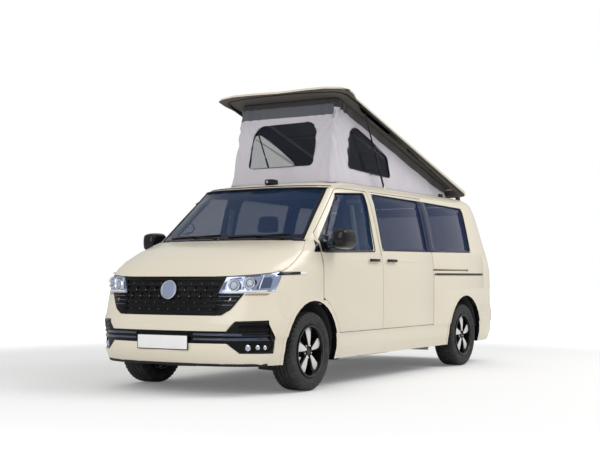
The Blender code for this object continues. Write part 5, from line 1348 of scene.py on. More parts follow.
@dataclass
class Front:
    """Grille, badge disc, headlamps, lower intake, fog lamps and plate."""

    disc_height: float = 0.883
    disc_radius: float = 0.080
    bar_heights: tuple[float, ...] = (0.720, 0.774, 0.828, 0.882, 0.936)
    wedge: tuple[Point, ...] = ((0.480, 0.853), (0.700, 0.854), (0.625, 0.741), (0.604, 0.716), (0.532, 0.671),
                                (0.470, 0.671))
    foot_lens: tuple[Point, ...] = ((0.702, 0.836), (0.848, 0.838), (0.866, 0.854), (0.712, 0.853))
    foot_bars: tuple[Point3, ...] = ((0.828, 0.500, 0.672), (0.792, 0.490, 0.648), (0.756, 0.480, 0.622))
    stud_pitch: float = 0.105
    stud_radius: float = 0.0034
    lamp_eyes: tuple[Point3, ...] = ((0.615, 0.922, 0.040), (0.735, 0.942, 0.038))
    lamp_guides: tuple[tuple, ...] = (
        (0.006, (0.520, 0.868), (0.58, 0.868), (0.66, 0.869), (0.74, 0.871), (0.82, 0.873), (0.880, 0.877)),
        (0.005, (0.548, 0.885), (0.553, 0.92), (0.560, 0.955), (0.566, 0.975)),
        (0.005, (0.675, 0.887), (0.678, 0.93), (0.683, 0.985)),
        (0.005, (0.795, 0.893), (0.802, 0.94), (0.810, 1.003)))
    turn_strip: tuple[Point, ...] = ((0.560, 0.850), (0.800, 0.852), (0.800, 0.861), (0.560, 0.859))
    lamp_shades: tuple[tuple[Point, ...], ...] = (
        ((0.508, 0.888), (0.545, 0.888), (0.556, 0.962), (0.530, 0.940)),
        ((0.572, 0.962), (0.668, 0.975), (0.664, 0.988), (0.582, 0.976)),
        ((0.655, 0.885), (0.690, 0.885), (0.692, 0.905), (0.668, 0.915)),
        ((0.690, 0.985), (0.790, 0.998), (0.788, 1.008), (0.692, 0.998)),
        ((0.775, 0.890), (0.862, 0.900), (0.868, 0.990), (0.806, 0.985)))
    slat_heights: tuple[float, ...] = (0.474, 0.513)
    pod: tuple[Point, ...] = ((0.600, 0.540), (0.662, 0.615), (0.850, 0.620), (0.872, 0.600), (0.886, 0.450),
                              (0.878, 0.385), (0.860, 0.364), (0.692, 0.362), (0.600, 0.440))
    fog_lamps: tuple[Point, ...] = ((0.742, 0.024), (0.796, 0.021), (0.843, 0.017))
    fog_height: float = 0.405
    lip_height: float = 0.285
    plate_low: Point = (-0.268, 0.388)
    plate_high: Point = (0.252, 0.500)

    def grille(self, panels: Panels) -> None:
        """The grille's bars, ribs, studs and plain disc."""
        dressed(panels.build("front_grille", 0.0015), "grille_black")
        surface = Surface("front_grille")
        studs, ribs = [], []
        for row, z in enumerate(self.bar_heights):
            for i in range(-5, 6):
                x = self.stud_pitch * (i + (0.5 if row % 2 else 0))
                limit = 0.44 if z > 0.84 or z < 0.74 else 0.50
                if abs(x) > limit or math.hypot(x, z - self.disc_height) < self.disc_radius + 0.02:
                    continue
                spot = surface.point(Facing.FRONT, x, z)
                studs.append(Turned(((self.stud_radius, -0.002), (self.stud_radius, 0.0015),
                                     (self.stud_radius * 0.5, 0.003)), 8).build(upright(spot, (0, -1, 0.1))))
                place = spot.y - NOSE
                ribs.append(Block((x - 0.005, place + 0.003, z - 0.030), (x + 0.005, place + 0.020, z + 0.030),
                                  0.0015, 1).build())
        settled(joined(studs), "grille_studs", "root", "alloy")
        settled(joined(ribs), "grille_ribs", "root", "grille_black")
        body = Surface("front_grille", "front_bumper", "wing_left", "wing_right", "headlamp_left",
                       "headlamp_right")
        bars, wedges, lenses = [], [], []
        for sign in (1, -1):
            wedges.append(Plate(flipped(self.wedge, sign), Facing.FRONT, 0.002, pitch=0.02, lift=0.0040,
                                surface=body).build())
            lenses.append(Plate(flipped(self.foot_lens, sign), Facing.FRONT, 0.002, pitch=0.02, lift=0.0006,
                                surface=body).build())
            for z, inner, outer in self.foot_bars:
                outline = ((inner, z - 0.004), (outer, z - 0.002), (outer, z + 0.004), (inner, z + 0.004))
                bars.append(Plate(flipped(outline, sign), Facing.FRONT, 0.003, pitch=0.02, lift=0.0065,
                                  surface=body).build())
        settled(joined(wedges), "grille_side_wedges", "root", "grille_black")
        settled(joined(lenses), "lamp_foot_lenses", "root", "amber_lens")
        settled(joined(bars), "lamp_foot_bars", "root", "slat_blue")
        low = surface.point(Facing.FRONT, 0, self.disc_height - 0.07)
        high = surface.point(Facing.FRONT, 0, self.disc_height + 0.07)
        lean = (high - low).normalized()
        outward = Vector((0, -lean.z, lean.y))
        at = upright((low + high) / 2, outward)
        r = self.disc_radius
        ring = Turned(((r, -0.004), (r + 0.002, 0.002), (r - 0.002, 0.007), (r - 0.007, 0.007), (r - 0.010, 0.003),
                       (r - 0.011, -0.002)), 72).build(at)
        settled(ring, "disc_ring", "root", "bright_steel")
        disc = Turned(((r - 0.010, -0.003), (r - 0.011, 0.002), (r * 0.7, 0.0042), (r * 0.35, 0.0055),
                       (r * 0.1, 0.0058)), 72).build(at)
        settled(disc, "disc_face", "root", "lamp_chrome")

    def lamps(self, panels: Panels) -> None:
        """The headlamps: bright housings, lens eyes in bezels, light guides and a lower strip."""
        for side in Side:
            node = f"headlamp_{side.word}"
            dressed(panels.build(node, 0.002), "lamp_chrome")
            surface = Surface(node)
            x = side.value
            bezels, eyes, guides = [], [], []
            for u, z, r in self.lamp_eyes:
                rim = max(surface.point(Facing.FRONT, x * (u + dx), z).y * -1 for dx in (-r - 0.012, r + 0.012))
                centre = (x * u, -rim + 0.012, z)
                at = upright(centre, (x * 0.18, -1, 0.10))
                bezels.append(Turned(((r + 0.010, -0.006), (r + 0.012, 0.004), (r + 0.004, 0.009), (r - 0.006, 0.002),
                                      (r - 0.012, -0.012)), 40).build(at))
                k = r - 0.010
                eyes.append(Turned(((k, -0.010), (k, 0.000), (k * 0.9, 0.006), (k * 0.7, 0.011), (k * 0.4, 0.015),
                                    (k * 0.1, 0.016)), 32).build(at))
            for radius, *spots in self.lamp_guides:
                line = [surface.point(Facing.FRONT, *spot, 0.001) for spot in flipped(spots, x)]
                guides.append(Rod(line, radius, sides=3).build())
            strip = Plate(flipped(self.turn_strip, x), Facing.FRONT, 0.003, pitch=0.03, lift=0.0005,
                          surface=surface, edge=0.0008).build()
            # Dark plates of painted shade in the lamp's gaps round the eyes.
            shades = [Plate(flipped(outline, x), Facing.FRONT, 0.0012, pitch=0.02, lift=0.0004,
                            surface=surface).build() for outline in self.lamp_shades]
            settled(joined(shades), f"{node}_shades", "root", "lamp_shade")
            settled(joined(bezels), f"{node}_bezels", "root", "bright_steel")
            settled(joined(eyes), f"{node}_eyes", "root", "lamp_glass")
            settled(joined(guides), f"{node}_guides", "root", "lamp_white")
            settled(strip, f"{node}_turn_strip", "root", "amber_lens")

    def intake(self, panels: Panels) -> None:
        """The lower intake: bright slats, pod frames, fog lamps and lower lip."""
        dressed(panels.build("lower_grille", 0.002), "grille_black")
        surface = Surface("lower_grille")
        slats, frames, lamps, jewels = [], [], [], []
        for x in (1, -1):
            for z in self.slat_heights:
                outline = ((0.300, z - 0.008), (0.870, z - 0.012), (0.850, z + 0.012), (0.300, z + 0.008))
                slats.append(Plate(flipped(outline, x), Facing.FRONT, 0.006, pitch=0.04, lift=0.007, surface=surface,
                                   edge=0.002).build())
            path = []
            for a, b in zip(self.pod, self.pod[1:]):
                for k in range(6):
                    u, z = a[0] + (b[0] - a[0]) * k / 6, a[1] + (b[1] - a[1]) * k / 6
                    path.append(surface.point(Facing.FRONT, x * u, z, 0.001))
            frames.append(Rod(path, 0.009, sides=3).build())
            for u, wide in self.fog_lamps:
                spot = surface.point(Facing.FRONT, x * u, self.fog_height)
                at = upright(spot, (x * 0.25, -1, 0))
                lamps.append(Turned(((wide, -0.004), (wide + 0.002, 0.003), (wide - 0.004, 0.007)), 28).build(at))
                jewels.append(Turned(((wide - 0.005, 0.004), (wide - 0.006, 0.009), (wide * 0.4, 0.012)),
                                     28).build(at))
        chin = Surface("front_bumper")
        lip = [chin.point(Facing.FRONT, x, self.lip_height, -0.016) - Vector((0, 0, 0.026))
               for x in [-0.84 + 0.07 * i for i in range(25)]]
        settled(Rod(lip, 0.013, sides=3).build(), "front_lip", "root", "black_plastic")
        settled(joined(slats), "intake_slats", "root", "slat_blue")
        settled(joined(frames), "intake_frames", "root", "gloss_black")
        settled(joined(lamps), "fog_lamp_rings", "root", "bright_steel")
        settled(joined(jewels), "fog_lamp_lenses", "root", "lamp_glass")

    def number_plate(self) -> None:
        """The blank front plate in its black surround."""
        surface = Surface("front_bumper", "lower_grille")
        outlines = []
        for grow in (0.008, 0.0):
            low = (self.plate_low[0] - grow, self.plate_low[1] - grow)
            high = (self.plate_high[0] + grow, self.plate_high[1] + grow)
            outlines.append(rectangle(low, high))
        bent = Plate(outlines[0], Facing.FRONT, 0.0022, corner=0.006, pitch=0.05, surface=surface).build()
        front = min(v.co.y for v in bent.data.vertices)
        bpy.data.objects.remove(bent)
        for outline, name, set_back, look in zip(outlines, ("front_plate_surround", "front_plate"), (0.0018, -0.0002),
                                                 ("black_plastic", "plate_white")):
            flat = Plate(outline, Facing.FRONT, 0.0022, corner=0.006, depth=front + set_back, edge=0.0006).build()
            settled(flat, name, "root", look)

    def build(self, panels: Panels) -> None:
        """Build the whole front."""
        self.grille(panels)
        self.lamps(panels)
        self.intake(panels)
        self.number_plate()


# Glazing and its trims


@dataclass
class Glazing:
    """Window borders, seals, wipers and the strips along the sides."""

    seal: float = 0.006
    roof_edge_strips: tuple[tuple[float, ...], ...] = ((0.700, 1.826, 0.002, 0.008), (0.690, 1.850, 0.001, 0.006))

    def line(self, surface: Surface, facing: Facing, spots: tuple[Point, ...], lift: float,
             step: float = 0.06) -> list[Vector]:
        """A line on a surface through the given spots.

        Args:
            surface: what the line lies on.
            facing: the way its outline faces.
            spots: its corners.
            lift: how far it stands off.
            step: the distance between its points.
        Returns:
            The points.
        """
        points = []
        for a, b in zip(spots, spots[1:]):
            count = max(int(math.hypot(b[0] - a[0], b[1] - a[1]) / step), 1)
            for k in range(count):
                t = k / count
                points.append(surface.point(facing, a[0] + (b[0] - a[0]) * t, a[1] + (b[1] - a[1]) * t, lift))
        points.append(surface.point(facing, *spots[-1], lift))
        return points

    def windscreen(self, panels: Panels) -> None:
        """The windscreen: dark border, seals, roof-edge strips and wipers."""
        dressed(panels.build("windscreen", 0.001, 30), "tinted_glass")
        glass = Surface("windscreen")
        around = Surface("windscreen", "roof_frame", "side_panel_left", "side_panel_right")
        strips = []
        for outline in (((-0.770, 1.336), (0.770, 1.336), (0.762, 1.372), (-0.762, 1.372)),
                        ((-0.690, 1.792), (0.690, 1.792), (0.684, 1.821), (-0.684, 1.821)),
                        ((0.752, 1.372), (0.780, 1.336), (0.694, 1.800), (0.668, 1.800)),
                        ((-0.752, 1.372), (-0.780, 1.336), (-0.694, 1.800), (-0.668, 1.800))):
            strips.append(Plate(outline, Facing.FRONT, 0.0006, pitch=0.04, lift=0.0004, surface=glass).build())
        settled(joined(strips), "windscreen_border", "root", "gloss_black")
        seals = []
        for x in (1, -1):
            seals.append(Rod(self.line(glass, Facing.FRONT, ((x * 0.780, 1.340), (x * 0.688, 1.806)), 0.0005),
                             self.seal).build())
        for half, z, lift, radius in self.roof_edge_strips:
            seals.append(Rod(self.line(around, Facing.FRONT, ((-half, z), (half, z)), lift, 0.05), radius).build())
        settled(joined(seals), "windscreen_seals", "root", "black_plastic")
        blades, arms = [], []
        for start, end, foot in ((-0.62, -0.02, -0.05), (0.08, 0.66, 0.62)):
            blade = self.line(glass, Facing.FRONT, ((start, 1.352), ((start + end) / 2, 1.362), (end, 1.375)), 0.010)
            blades.append(Rod(blade, 0.005).build())
            middle = glass.point(Facing.FRONT, (start + end) / 2, 1.362, 0.020)
            root = glass.point(Facing.FRONT, foot, 1.338, 0.018)
            arms.append(Rod([root, (root + middle) / 2 + Vector((0, -0.004, 0.004)), middle], 0.007).build())
            arms.append(Turned(((0.016, -0.020), (0.016, 0.004), (0.010, 0.010)), 24).build(
                upright(root, (0, -0.8, 0.6))))
        settled(joined(blades), "wiper_blades", "root", "black_plastic")
        settled(joined(arms), "wiper_arms", "root", "black_plastic")

    def side_windows(self, panels: Panels, side: Side) -> None:
        """One side's glass, black borders, quarter piece and pillar cover."""
        facing, x = Facing.of(side), side.value
        word = side.word
        door = f"door_{word}"
        dressed(panels.build(f"door_glass_{word}", 0.001), "tinted_glass")
        for node in (f"middle_glass_{word}", f"quarter_glass_{word}"):
            dressed(panels.build(node, 0.001), "privacy_glass")
        whole = Surface(f"side_panel_{word}", f"middle_glass_{word}", f"quarter_glass_{word}",
                        *(["sliding_door"] if side is Side.LEFT else []))
        doors = Surface(door, f"door_glass_{word}")
        border = ((1.640, 1.776), (2.120, 1.802), (2.139, 1.790), (2.126, 1.250), (2.110, 1.236), (1.150, 1.214),
                  (1.128, 1.222), (1.135, 1.240), (1.625, 1.762))
        seal = Rod(self.line(doors, facing, border, 0.001, 0.05), self.seal, closed=True).build()
        settled(seal, f"door_window_seal_{word}", door, "black_plastic")
        pillar = Plate(((3.345, 1.258), (3.548, 1.262), (3.548, 1.788), (3.345, 1.800)), facing, 0.003, pitch=0.02,
                       lift=0.0030, surface=whole, edge=0.0005).build()
        settled(pillar, f"pillar_cover_{word}", "root", "pillar_glass")
        around = ((2.296, 1.249), (3.38, 1.257), (4.526, 1.272), (4.530, 1.774), (3.50, 1.793), (2.306, 1.806),
                  (2.296, 1.249))
        lines = [Rod(self.line(whole, facing, around, 0.0005, 0.06), 0.004).build(),
                 Rod(self.line(whole, facing, ((3.405, 1.262), (3.402, 1.796)), 0.006, 0.06), 0.0025).build()]
        settled(joined(lines), f"side_window_seals_{word}", "root", "black_plastic")
        base = Surface(f"side_panel_{word}", f"wing_{word}", door)
        sail = Plate(((0.975, 1.212), (1.086, 1.212), (1.086, 1.325)), facing, 0.003, corner=0.008, pitch=0.02,
                     lift=0.0005, surface=base, edge=0.001).build()
        settled(sail, f"sail_panel_{word}", "root", "gloss_black")
        sail = Plate(((1.099, 1.214), (1.150, 1.214), (1.225, 1.372), (1.200, 1.372), (1.099, 1.290)), facing, 0.003,
                     pitch=0.02, lift=0.0005, surface=Surface(door), edge=0.001).build()
        settled(sail, f"door_sail_{word}", door, "gloss_black")

    def side_strips(self, side: Side) -> None:
        """One side's strips, repeater and handles."""
        facing, word = Facing.of(side), side.word
        body = Surface(f"wing_{word}", f"headlamp_{word}", f"side_panel_{word}",
                       *(["sliding_door"] if side is Side.LEFT else []))
        strips = [Plate(((0.432, 1.004), (0.700, 1.012), (0.700, 1.036), (0.432, 1.032)), facing, 0.004, pitch=0.03,
                        lift=0.0004, surface=body, edge=0.001).build()]
        if side is Side.LEFT:
            strips.append(Plate(((3.428, 1.060), (4.389, 1.063), (4.389, 1.068), (3.428, 1.072)), facing, 0.003,
                                pitch=0.06, lift=0.0004, surface=body, edge=0.0008).build())
        for start, end in ((3.450, 3.500), (3.511, 4.815)):
            strips.append(Plate(((start, 1.009), (end, 1.009), (end, 1.032), (start, 1.032)), facing, 0.005,
                                pitch=0.06, lift=0.0004, surface=body, edge=0.0015).build())
        settled(joined(strips), f"side_strips_{word}", "root", "gloss_black")
        lens = Plate(((0.703, 1.012), (0.795, 1.016), (0.790, 1.036), (0.703, 1.036)), facing, 0.005, pitch=0.02,
                     lift=0.0004, surface=body, edge=0.0015).build()
        settled(lens, f"side_repeater_{word}", "root", "lamp_white")
        door = f"door_{word}"
        handles = [(1.962, 2.163, door, Surface(door))]
        if side is Side.LEFT:
            handles.append((2.332, 2.539, "root", Surface("sliding_door")))
        for start, end, rider, surface in handles:
            outer = max(abs(surface.depth(facing, s, 1.150) or 0) for s in (start + 0.03, (start + end) / 2))
            low, high = outer - 0.012, outer + 0.0025
            bar = Block((side.value * low, start, 1.1355), (side.value * high, end, 1.1650), 0.0055).build()
            settled(bar, f"{'slider' if rider == 'root' else 'door'}_handle_{word}", rider, "gloss_black")

    def mirror(self, side: Side) -> None:
        """One side's mirror: rounded housing, arm, foot and glass."""
        word, x = side.word, side.value
        body = f"door_{word}"
        bpy.ops.object.select_all(action="DESELECT")
        bpy.ops.mesh.primitive_cube_add(size=1, location=(x * 1.0660, along(1.2500), 1.3325))
        shell = bpy.context.active_object
        shell.scale = (0.1655, 0.262, 0.190)
        bpy.ops.object.transform_apply(location=True, rotation=True, scale=True)
        with editing():
            bpy.ops.mesh.bevel(offset=0.040, segments=1, affect="EDGES")
            bpy.ops.mesh.select_all(action="SELECT")
            bpy.ops.mesh.bisect(plane_co=(0, along(1.345), 0), plane_no=(0, 1, 0), clear_outer=True, use_fill=True)
        modifier(shell, "SUBSURF", levels=3, render_levels=3)
        smooth(shell, 60)
        arm = Rod([spot_at(x * 0.905, 1.200, 1.258), spot_at(x * 0.950, 1.212, 1.262),
                   spot_at(x * 1.000, 1.226, 1.268), spot_at(x * 1.030, 1.235, 1.285)], 0.020, sides=3).build()
        foot = Plate(((1.132, 1.226), (1.290, 1.226), (1.250, 1.262), (1.146, 1.300)), Facing.of(side), 0.012,
                     corner=0.010, pitch=0.03, lift=0.0003, surface=Surface(body, f"door_glass_{word}"),
                     edge=0.003).build()
        obj = settled(joined([shell, arm, foot]), f"mirror_{word}_housing", body, "gloss_black")
        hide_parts(f"mirror_{word}")
        glass = Block((x * 1.012, 1.338, 1.268), (x * 1.122, 1.3460, 1.398), 0.003).build()
        settled(glass, f"mirror_{word}_glass", body, "bright_steel")

    def build(self, panels: Panels) -> None:
        """Build everything on the windows and the sides."""
        self.windscreen(panels)
        for side in Side:
            self.side_windows(panels, side)
            self.side_strips(side)
            self.mirror(side)


# The tail


@dataclass
class Tail:
    """Tailgate trims, lamps, plate and reflectors."""

    def build(self, panels: Panels) -> None:
        """Build the whole tail."""
        dressed(panels.build("tailgate_glass", 0.001), "privacy_glass")
        gate = Surface("tailgate", "tailgate_glass")
        bumper = Surface("rear_bumper")
        rear = Facing.REAR
        seal = Glazing().line(gate, rear, ((-0.640, 1.272), (0.640, 1.272), (0.575, 1.735), (-0.575, 1.735),
                                           (-0.640, 1.272)), 0.001, 0.06)
        settled(Rod(seal, 0.006).build(), "tailgate_window_seal", "tailgate", "black_plastic")
        surround = Plate(rectangle((-0.272, 0.885), (0.272, 1.015)), rear, 0.003, corner=0.008,
                         pitch=0.05, lift=0.0004, surface=gate, edge=0.001).build()
        settled(surround, "rear_plate_surround", "tailgate", "black_plastic")
        blank = Plate(rectangle((-0.260, 0.894), (0.260, 1.005)), rear, 0.002, corner=0.006,
                      pitch=0.05, lift=0.0036, surface=gate, edge=0.0006).build()
        settled(blank, "rear_plate", "tailgate", "plate_white")
        grip = Plate(((-0.300, 1.035), (0.300, 1.035), (0.285, 1.080), (-0.285, 1.080)), rear, 0.012, corner=0.010,
                     pitch=0.05, lift=0.0004, surface=gate, edge=0.004).build()
        settled(grip, "tailgate_grip", "tailgate", "gloss_black")
        lamp = Plate(((-0.170, 1.752), (0.170, 1.752), (0.165, 1.772), (-0.165, 1.772)), rear, 0.004, pitch=0.05,
                     lift=0.0004, surface=gate, edge=0.001).build()
        settled(lamp, "high_brake_lamp", "tailgate", "red_lens")
        pivot = gate.point(rear, 0, 1.255, 0.010)
        tip = gate.point(rear, 0.360, 1.330, 0.012)
        arm = Rod([pivot, pivot.lerp(tip, 0.5) + Vector((0, 0.006, 0)), tip], 0.006).build()
        hub = Turned(((0.024, -0.014), (0.024, 0.006), (0.016, 0.012)), 28).build(upright(pivot, (0, 1, 0.15)))
        settled(joined([arm, hub]), "rear_wiper", "tailgate", "black_plastic")
        for side in Side:
            node = f"tail_lamp_{side.word}"
            panels.build(node, 0.003)
            surface = Surface(node)
            x = side.value
            bands = [Plate(flipped(rectangle((0.815, low), (0.925, high)), x), rear, 0.003, pitch=0.02,
                           lift=0.0004, surface=surface, edge=0.001).build()
                     for low, high in ((0.985, 1.035), (1.050, 1.080))]
            settled(joined(bands), f"{node}_bands", "root", "lamp_white")
            reflector = Plate(flipped(rectangle((0.700, 0.372), (0.840, 0.400)), x), rear, 0.004, corner=0.006,
                              pitch=0.03, lift=0.0004, surface=bumper, edge=0.001).build()
            settled(reflector, f"rear_reflector_{side.word}", "root", "red_lens")
        step = Plate(rectangle((-0.60, 0.500), (0.60, 0.540)), rear, 0.001, pitch=0.08,
                     lift=0.0002, surface=bumper).build()
        settled(step, "rear_bumper_strip", "root", "black_plastic")


# The cabin


@dataclass
class Cabin:
    """Seats, bench, dashboard dress, pillar trims and cabinet fronts."""

    seat_x: float = 0.400
    half_width: float = 0.240
    pressure: float = 4.0
    voxel: float = 0.012
    cap: float = 0.018
    frames: int = 20

    def pad(self, low: Point3, high: Point3, lean: float, pivot: Point, round_to: float = 0.035,
            taper: float = 1.0) -> bpy.types.Object:
        """A crowned cushion.

        Args:
            low: its lowest corner before it leans, as X, place and height.
            high: its highest corner.
            lean: the angle in degrees that its top leans back.
            pivot: the place and height that it leans about.
            round_to: how much its edges are rounded first.
            taper: the share of its width at the top.
        Returns:
            The cushion, blown up by a short cloth run and smoothed.
        """
        shrink = self.cap * 0.45
        obj = Block(tuple(a + shrink for a in low), tuple(b - shrink for b in high), round_to, 3).build()
        for vertex in obj.data.vertices:
            share = (vertex.co.z - low[2]) / (high[2] - low[2])
            middle = (low[0] + high[0]) / 2
            vertex.co.x = middle + (vertex.co.x - middle) * (1 + (taper - 1) * share)
        modifier(obj, "REMESH", mode="VOXEL", voxel_size=self.voxel)
        self.blow(obj)
        modifier(obj, "SMOOTH", factor=0.5, iterations=4)
        modifier(obj, "SUBSURF", levels=1, render_levels=1)
        centre = spot_at(0, *pivot)
        turn = Matrix.Translation(centre) @ Matrix.Rotation(math.radians(-lean), 4, "X") @ Matrix.Translation(-centre)
        obj.data.transform(turn)
        return smooth(obj, 60)

    def blow(self, obj: bpy.types.Object) -> None:
        """Blow a cushion up with cloth pressure and keep the result within the cap."""
        rest = [v.co.copy() for v in obj.data.vertices]
        alone(obj)
        cloth = obj.modifiers.new("cloth", "CLOTH")
        cloth.settings.use_pressure = True
        cloth.settings.uniform_pressure_force = self.pressure
        cloth.settings.effector_weights.gravity = 0
        cloth.settings.quality = 3
        cloth.collision_settings.use_collision = False
        cloth.point_cache.frame_start = 1
        cloth.point_cache.frame_end = self.frames
        for step in range(1, self.frames + 1):
            bpy.context.scene.frame_set(step)
        bpy.ops.object.modifier_apply(modifier=cloth.name)
        bpy.context.scene.frame_set(1)
        for vertex, start in zip(obj.data.vertices, rest):
            move = vertex.co - start
            if move.length > self.cap:
                vertex.co = start + move * (self.cap / move.length)

    def seam(self, surface_of: bpy.types.Object, spots: list[Vector]) -> bpy.types.Object:
        """A stitched seam laid on a cushion through the given points."""
        tree = BVHTree.FromPolygons([v.co for v in surface_of.data.vertices],
                                    [list(p.vertices) for p in surface_of.data.polygons])
        points = [tree.find_nearest(spot)[0] for spot in spots]
        return Rod(points, 0.0028).build()

    def front_seats(self) -> None:
        """Both front seats: base, cushion, back, headrest and posts."""
        x0, w = self.seat_x, self.half_width
        cushion = self.pad((x0 - w, 1.640, 0.650), (x0 + w, 2.120, 0.790), -3, (1.9, 0.70))
        back = self.pad((x0 - w, 2.045, 0.700), (x0 + w, 2.175, 1.420), 14, (2.10, 0.70), 0.04, 0.80)
        rest = self.pad((x0 - 0.130, 2.225, 1.445), (x0 + 0.130, 2.330, 1.630), 8, (2.27, 1.45), 0.03,
                        0.86)
        seams = []
        for dx in (-0.13, 0.13):
            seams.append(self.seam(cushion, [spot_at(x0 + dx, s, 0.86) for s in
                                             [1.66 + 0.04 * i for i in range(11)]]))
            seams.append(self.seam(back, [spot_at(x0 + dx * (1.1 - 0.25 * i / 14), 2.02 + 0.17 * i / 14,
                                                  0.80 + 0.04 * i) for i in range(15)]))
        posts = [Rod([spot_at(x0 + dx, 2.235, 1.36), spot_at(x0 + dx, 2.262, 1.48)], 0.007, sides=3).build()
                 for dx in (-0.06, 0.06)]
        base = Block((x0 - 0.20, 1.70, 0.405), (x0 + 0.20, 2.10, 0.600), 0.012).build()
        shell = Block((x0 - w + 0.01, 1.66, 0.600), (x0 + w - 0.01, 2.13, 0.655), 0.015).build()
        lever = Block((x0 + w - 0.008, 1.85, 0.600), (x0 + w + 0.002, 2.06, 0.660), 0.004).build()
        groups = {"cushion": ([cushion], "seat_cloth"), "back": ([back], "seat_cloth"),
                  "headrest": ([rest], "seat_cloth"), "seams": (seams, "seam_thread"),
                  "posts": (posts, "bright_steel"), "base": ([base, shell, lever], "trim_plastic")}
        for key, (parts, look) in groups.items():
            left = joined(parts)
            right = mirrored(left)
            for obj, word in ((left, "left"), (right, "right")):
                settled(obj, f"seat_{word}_{key}", "root", look)
                if key == "cushion":
                    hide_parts(f"seat_{word}")

    def bench(self) -> None:
        """The rear bench: box, cushion, back, seams and knobs."""
        low, high = -0.380, 0.560
        cushion = self.pad((low, 3.315, 0.650), (high, 3.850, 0.785), -3, (3.6, 0.7), 0.04)
        back = self.pad((low, 3.790, 0.700), (high, 3.905, 1.310), 10, (3.85, 0.70), 0.04)
        seams = []
        for i in range(1, 3):
            x = low + (high - low) * i / 3
            seams.append(self.seam(cushion, [spot_at(x, 3.33 + 0.04 * k, 0.86) for k in range(12)]))
            seams.append(self.seam(back, [spot_at(x, 3.76 + 0.012 * k, 0.80 + 0.04 * k) for k in range(12)]))
        settled(joined(seams), "bench_seams", "root", "seam_thread")
        for obj, key in ((cushion, "cushion"), (back, "back")):
            settled(obj, f"bench_{key}", "root", "seat_cloth")
        box = [Block((low + 0.02, 3.36, 0.4005), (high - 0.02, 3.84, 0.640), 0.008).build()]
        for x in (low + 0.05, 0.10):
            box.append(Block((x, 3.352, 0.43), (x + 0.40, 3.362, 0.61), 0.004).build())
        body = settled(joined(box), "bench_box", "root", "cabinet_board")
        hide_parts("rear_bench")
        knobs = [Turned(((0.012, 0), (0.012, 0.010), (0.008, 0.014)), 20).build(
            upright((x, along(3.352), 0.575), (0, -1, 0))) for x in (low + 0.25, 0.30)]
        settled(joined(knobs), "bench_knobs", "root", "bright_steel")

    def dashboard(self, panels: Panels) -> None:
        """Instrument hood, screen, vents, wheel boss and gear lever."""
        panels.build("dashboard", 0.012)
        wheel = panels.build("steering_wheel", 0.003)
        dressed(wheel, "trim_plastic")
        dash = Surface("dashboard")
        parts = []
        hood_top = dash.point(Facing.TOP, -0.40, 1.12).z
        parts.append(Block((-0.560, 1.06, hood_top - 0.03), (-0.240, 1.24, hood_top + 0.045),
                           0.020, 4).build())
        for x in (-0.64, -0.17, 0.17, 0.64):
            place = dash.point(Facing.REAR, x, 1.16).y - NOSE
            for k in range(5):
                z = 1.135 + 0.011 * k
                parts.append(Block((x - 0.055, place - 0.004, z), (x + 0.055, place + 0.006, z + 0.005), 0.001,
                                   1).build())
        settled(joined(parts), "dashboard_hood_and_vents", "root", "black_plastic")
        place = dash.point(Facing.REAR, 0, 1.08).y - NOSE
        screen = Block((-0.105, place - 0.004, 1.02), (0.105, place + 0.008, 1.125), 0.004).build()
        settled(screen, "dashboard_screen", "root", "gloss_black")
        lever_at = upright((0.0, along(1.42), 0.93), (0, 0.2, 1))
        lever = Turned(((0.050, -0.140), (0.040, -0.060), (0.014, -0.040), (0.010, 0.060), (0.022, 0.075),
                        (0.024, 0.095), (0.014, 0.110)), 24).build(lever_at)
        settled(lever, "gear_lever", "root", "trim_plastic")

    def trims(self, panels: Panels) -> None:
        """Pillar trims, sun visor, grab handle and cabinet fronts."""
        for side in Side:
            x, word = side.value, side.word
            post = Rod([spot_at(x * 0.742, 1.10, 1.345), spot_at(x * 0.715, 1.26, 1.50),
                        spot_at(x * 0.680, 1.46, 1.68), spot_at(x * 0.655, 1.60, 1.775)], 0.024, sides=3).build()
            belt = Block((x * 0.770, 2.045, 1.15), (x * 0.800, 2.095, 1.700), 0.006).build()
            lean = Matrix.Translation((x * 0.80, 0, 1.15)) @ Matrix.Rotation(-x * math.radians(9), 4, "Y") @ \
                Matrix.Translation((-x * 0.80, 0, -1.15))
            belt.data.transform(lean)
            settled(post, f"front_pillar_trim_{word}", "root", "mint_trim" if side is Side.RIGHT else "interior_trim")
            settled(belt, f"door_pillar_trim_{word}", "root", "mint_trim")
        visor = Block((0.06, 1.545, 1.708), (0.62, 1.575, 1.802), 0.010).build()
        settled(visor, "sun_visor", "root", "black_plastic")
        band = Block((0.02, 1.58, 1.770), (0.64, 1.80, 1.790), 0.005).build()
        settled(band, "head_lining_front", "root", "black_plastic")
        grab = Rod([spot_at(-0.700, 1.33, 1.52), spot_at(-0.672, 1.34, 1.50),
                    spot_at(-0.664, 1.36, 1.46), spot_at(-0.678, 1.33, 1.425),
                    spot_at(-0.712, 1.27, 1.41)], 0.009, sides=3).build()
        settled(grab, "grab_handle", "root", "mint_trim")
        panels.build("galley_unit", 0.004)
        fronts, knobs = [], []
        for i in range(3):
            s0, s1 = 2.64 + 0.385 * i, 2.64 + 0.385 * i + 0.370
            for low, high in ((0.46, 0.86), (0.875, 1.10)):
                fronts.append(Block((-0.4605, s0, low), (-0.452, s1, high), 0.003).build())
                knobs.append(Turned(((0.011, 0), (0.011, 0.008), (0.008, 0.012)), 18).build(
                    upright((-0.452, along((s0 + s1) / 2), high - 0.04), (1, 0, 0))))
        settled(joined(fronts), "cabinet_doors", "root", "cabinet_board")
        settled(joined(knobs), "cabinet_knobs", "root", "bright_steel")
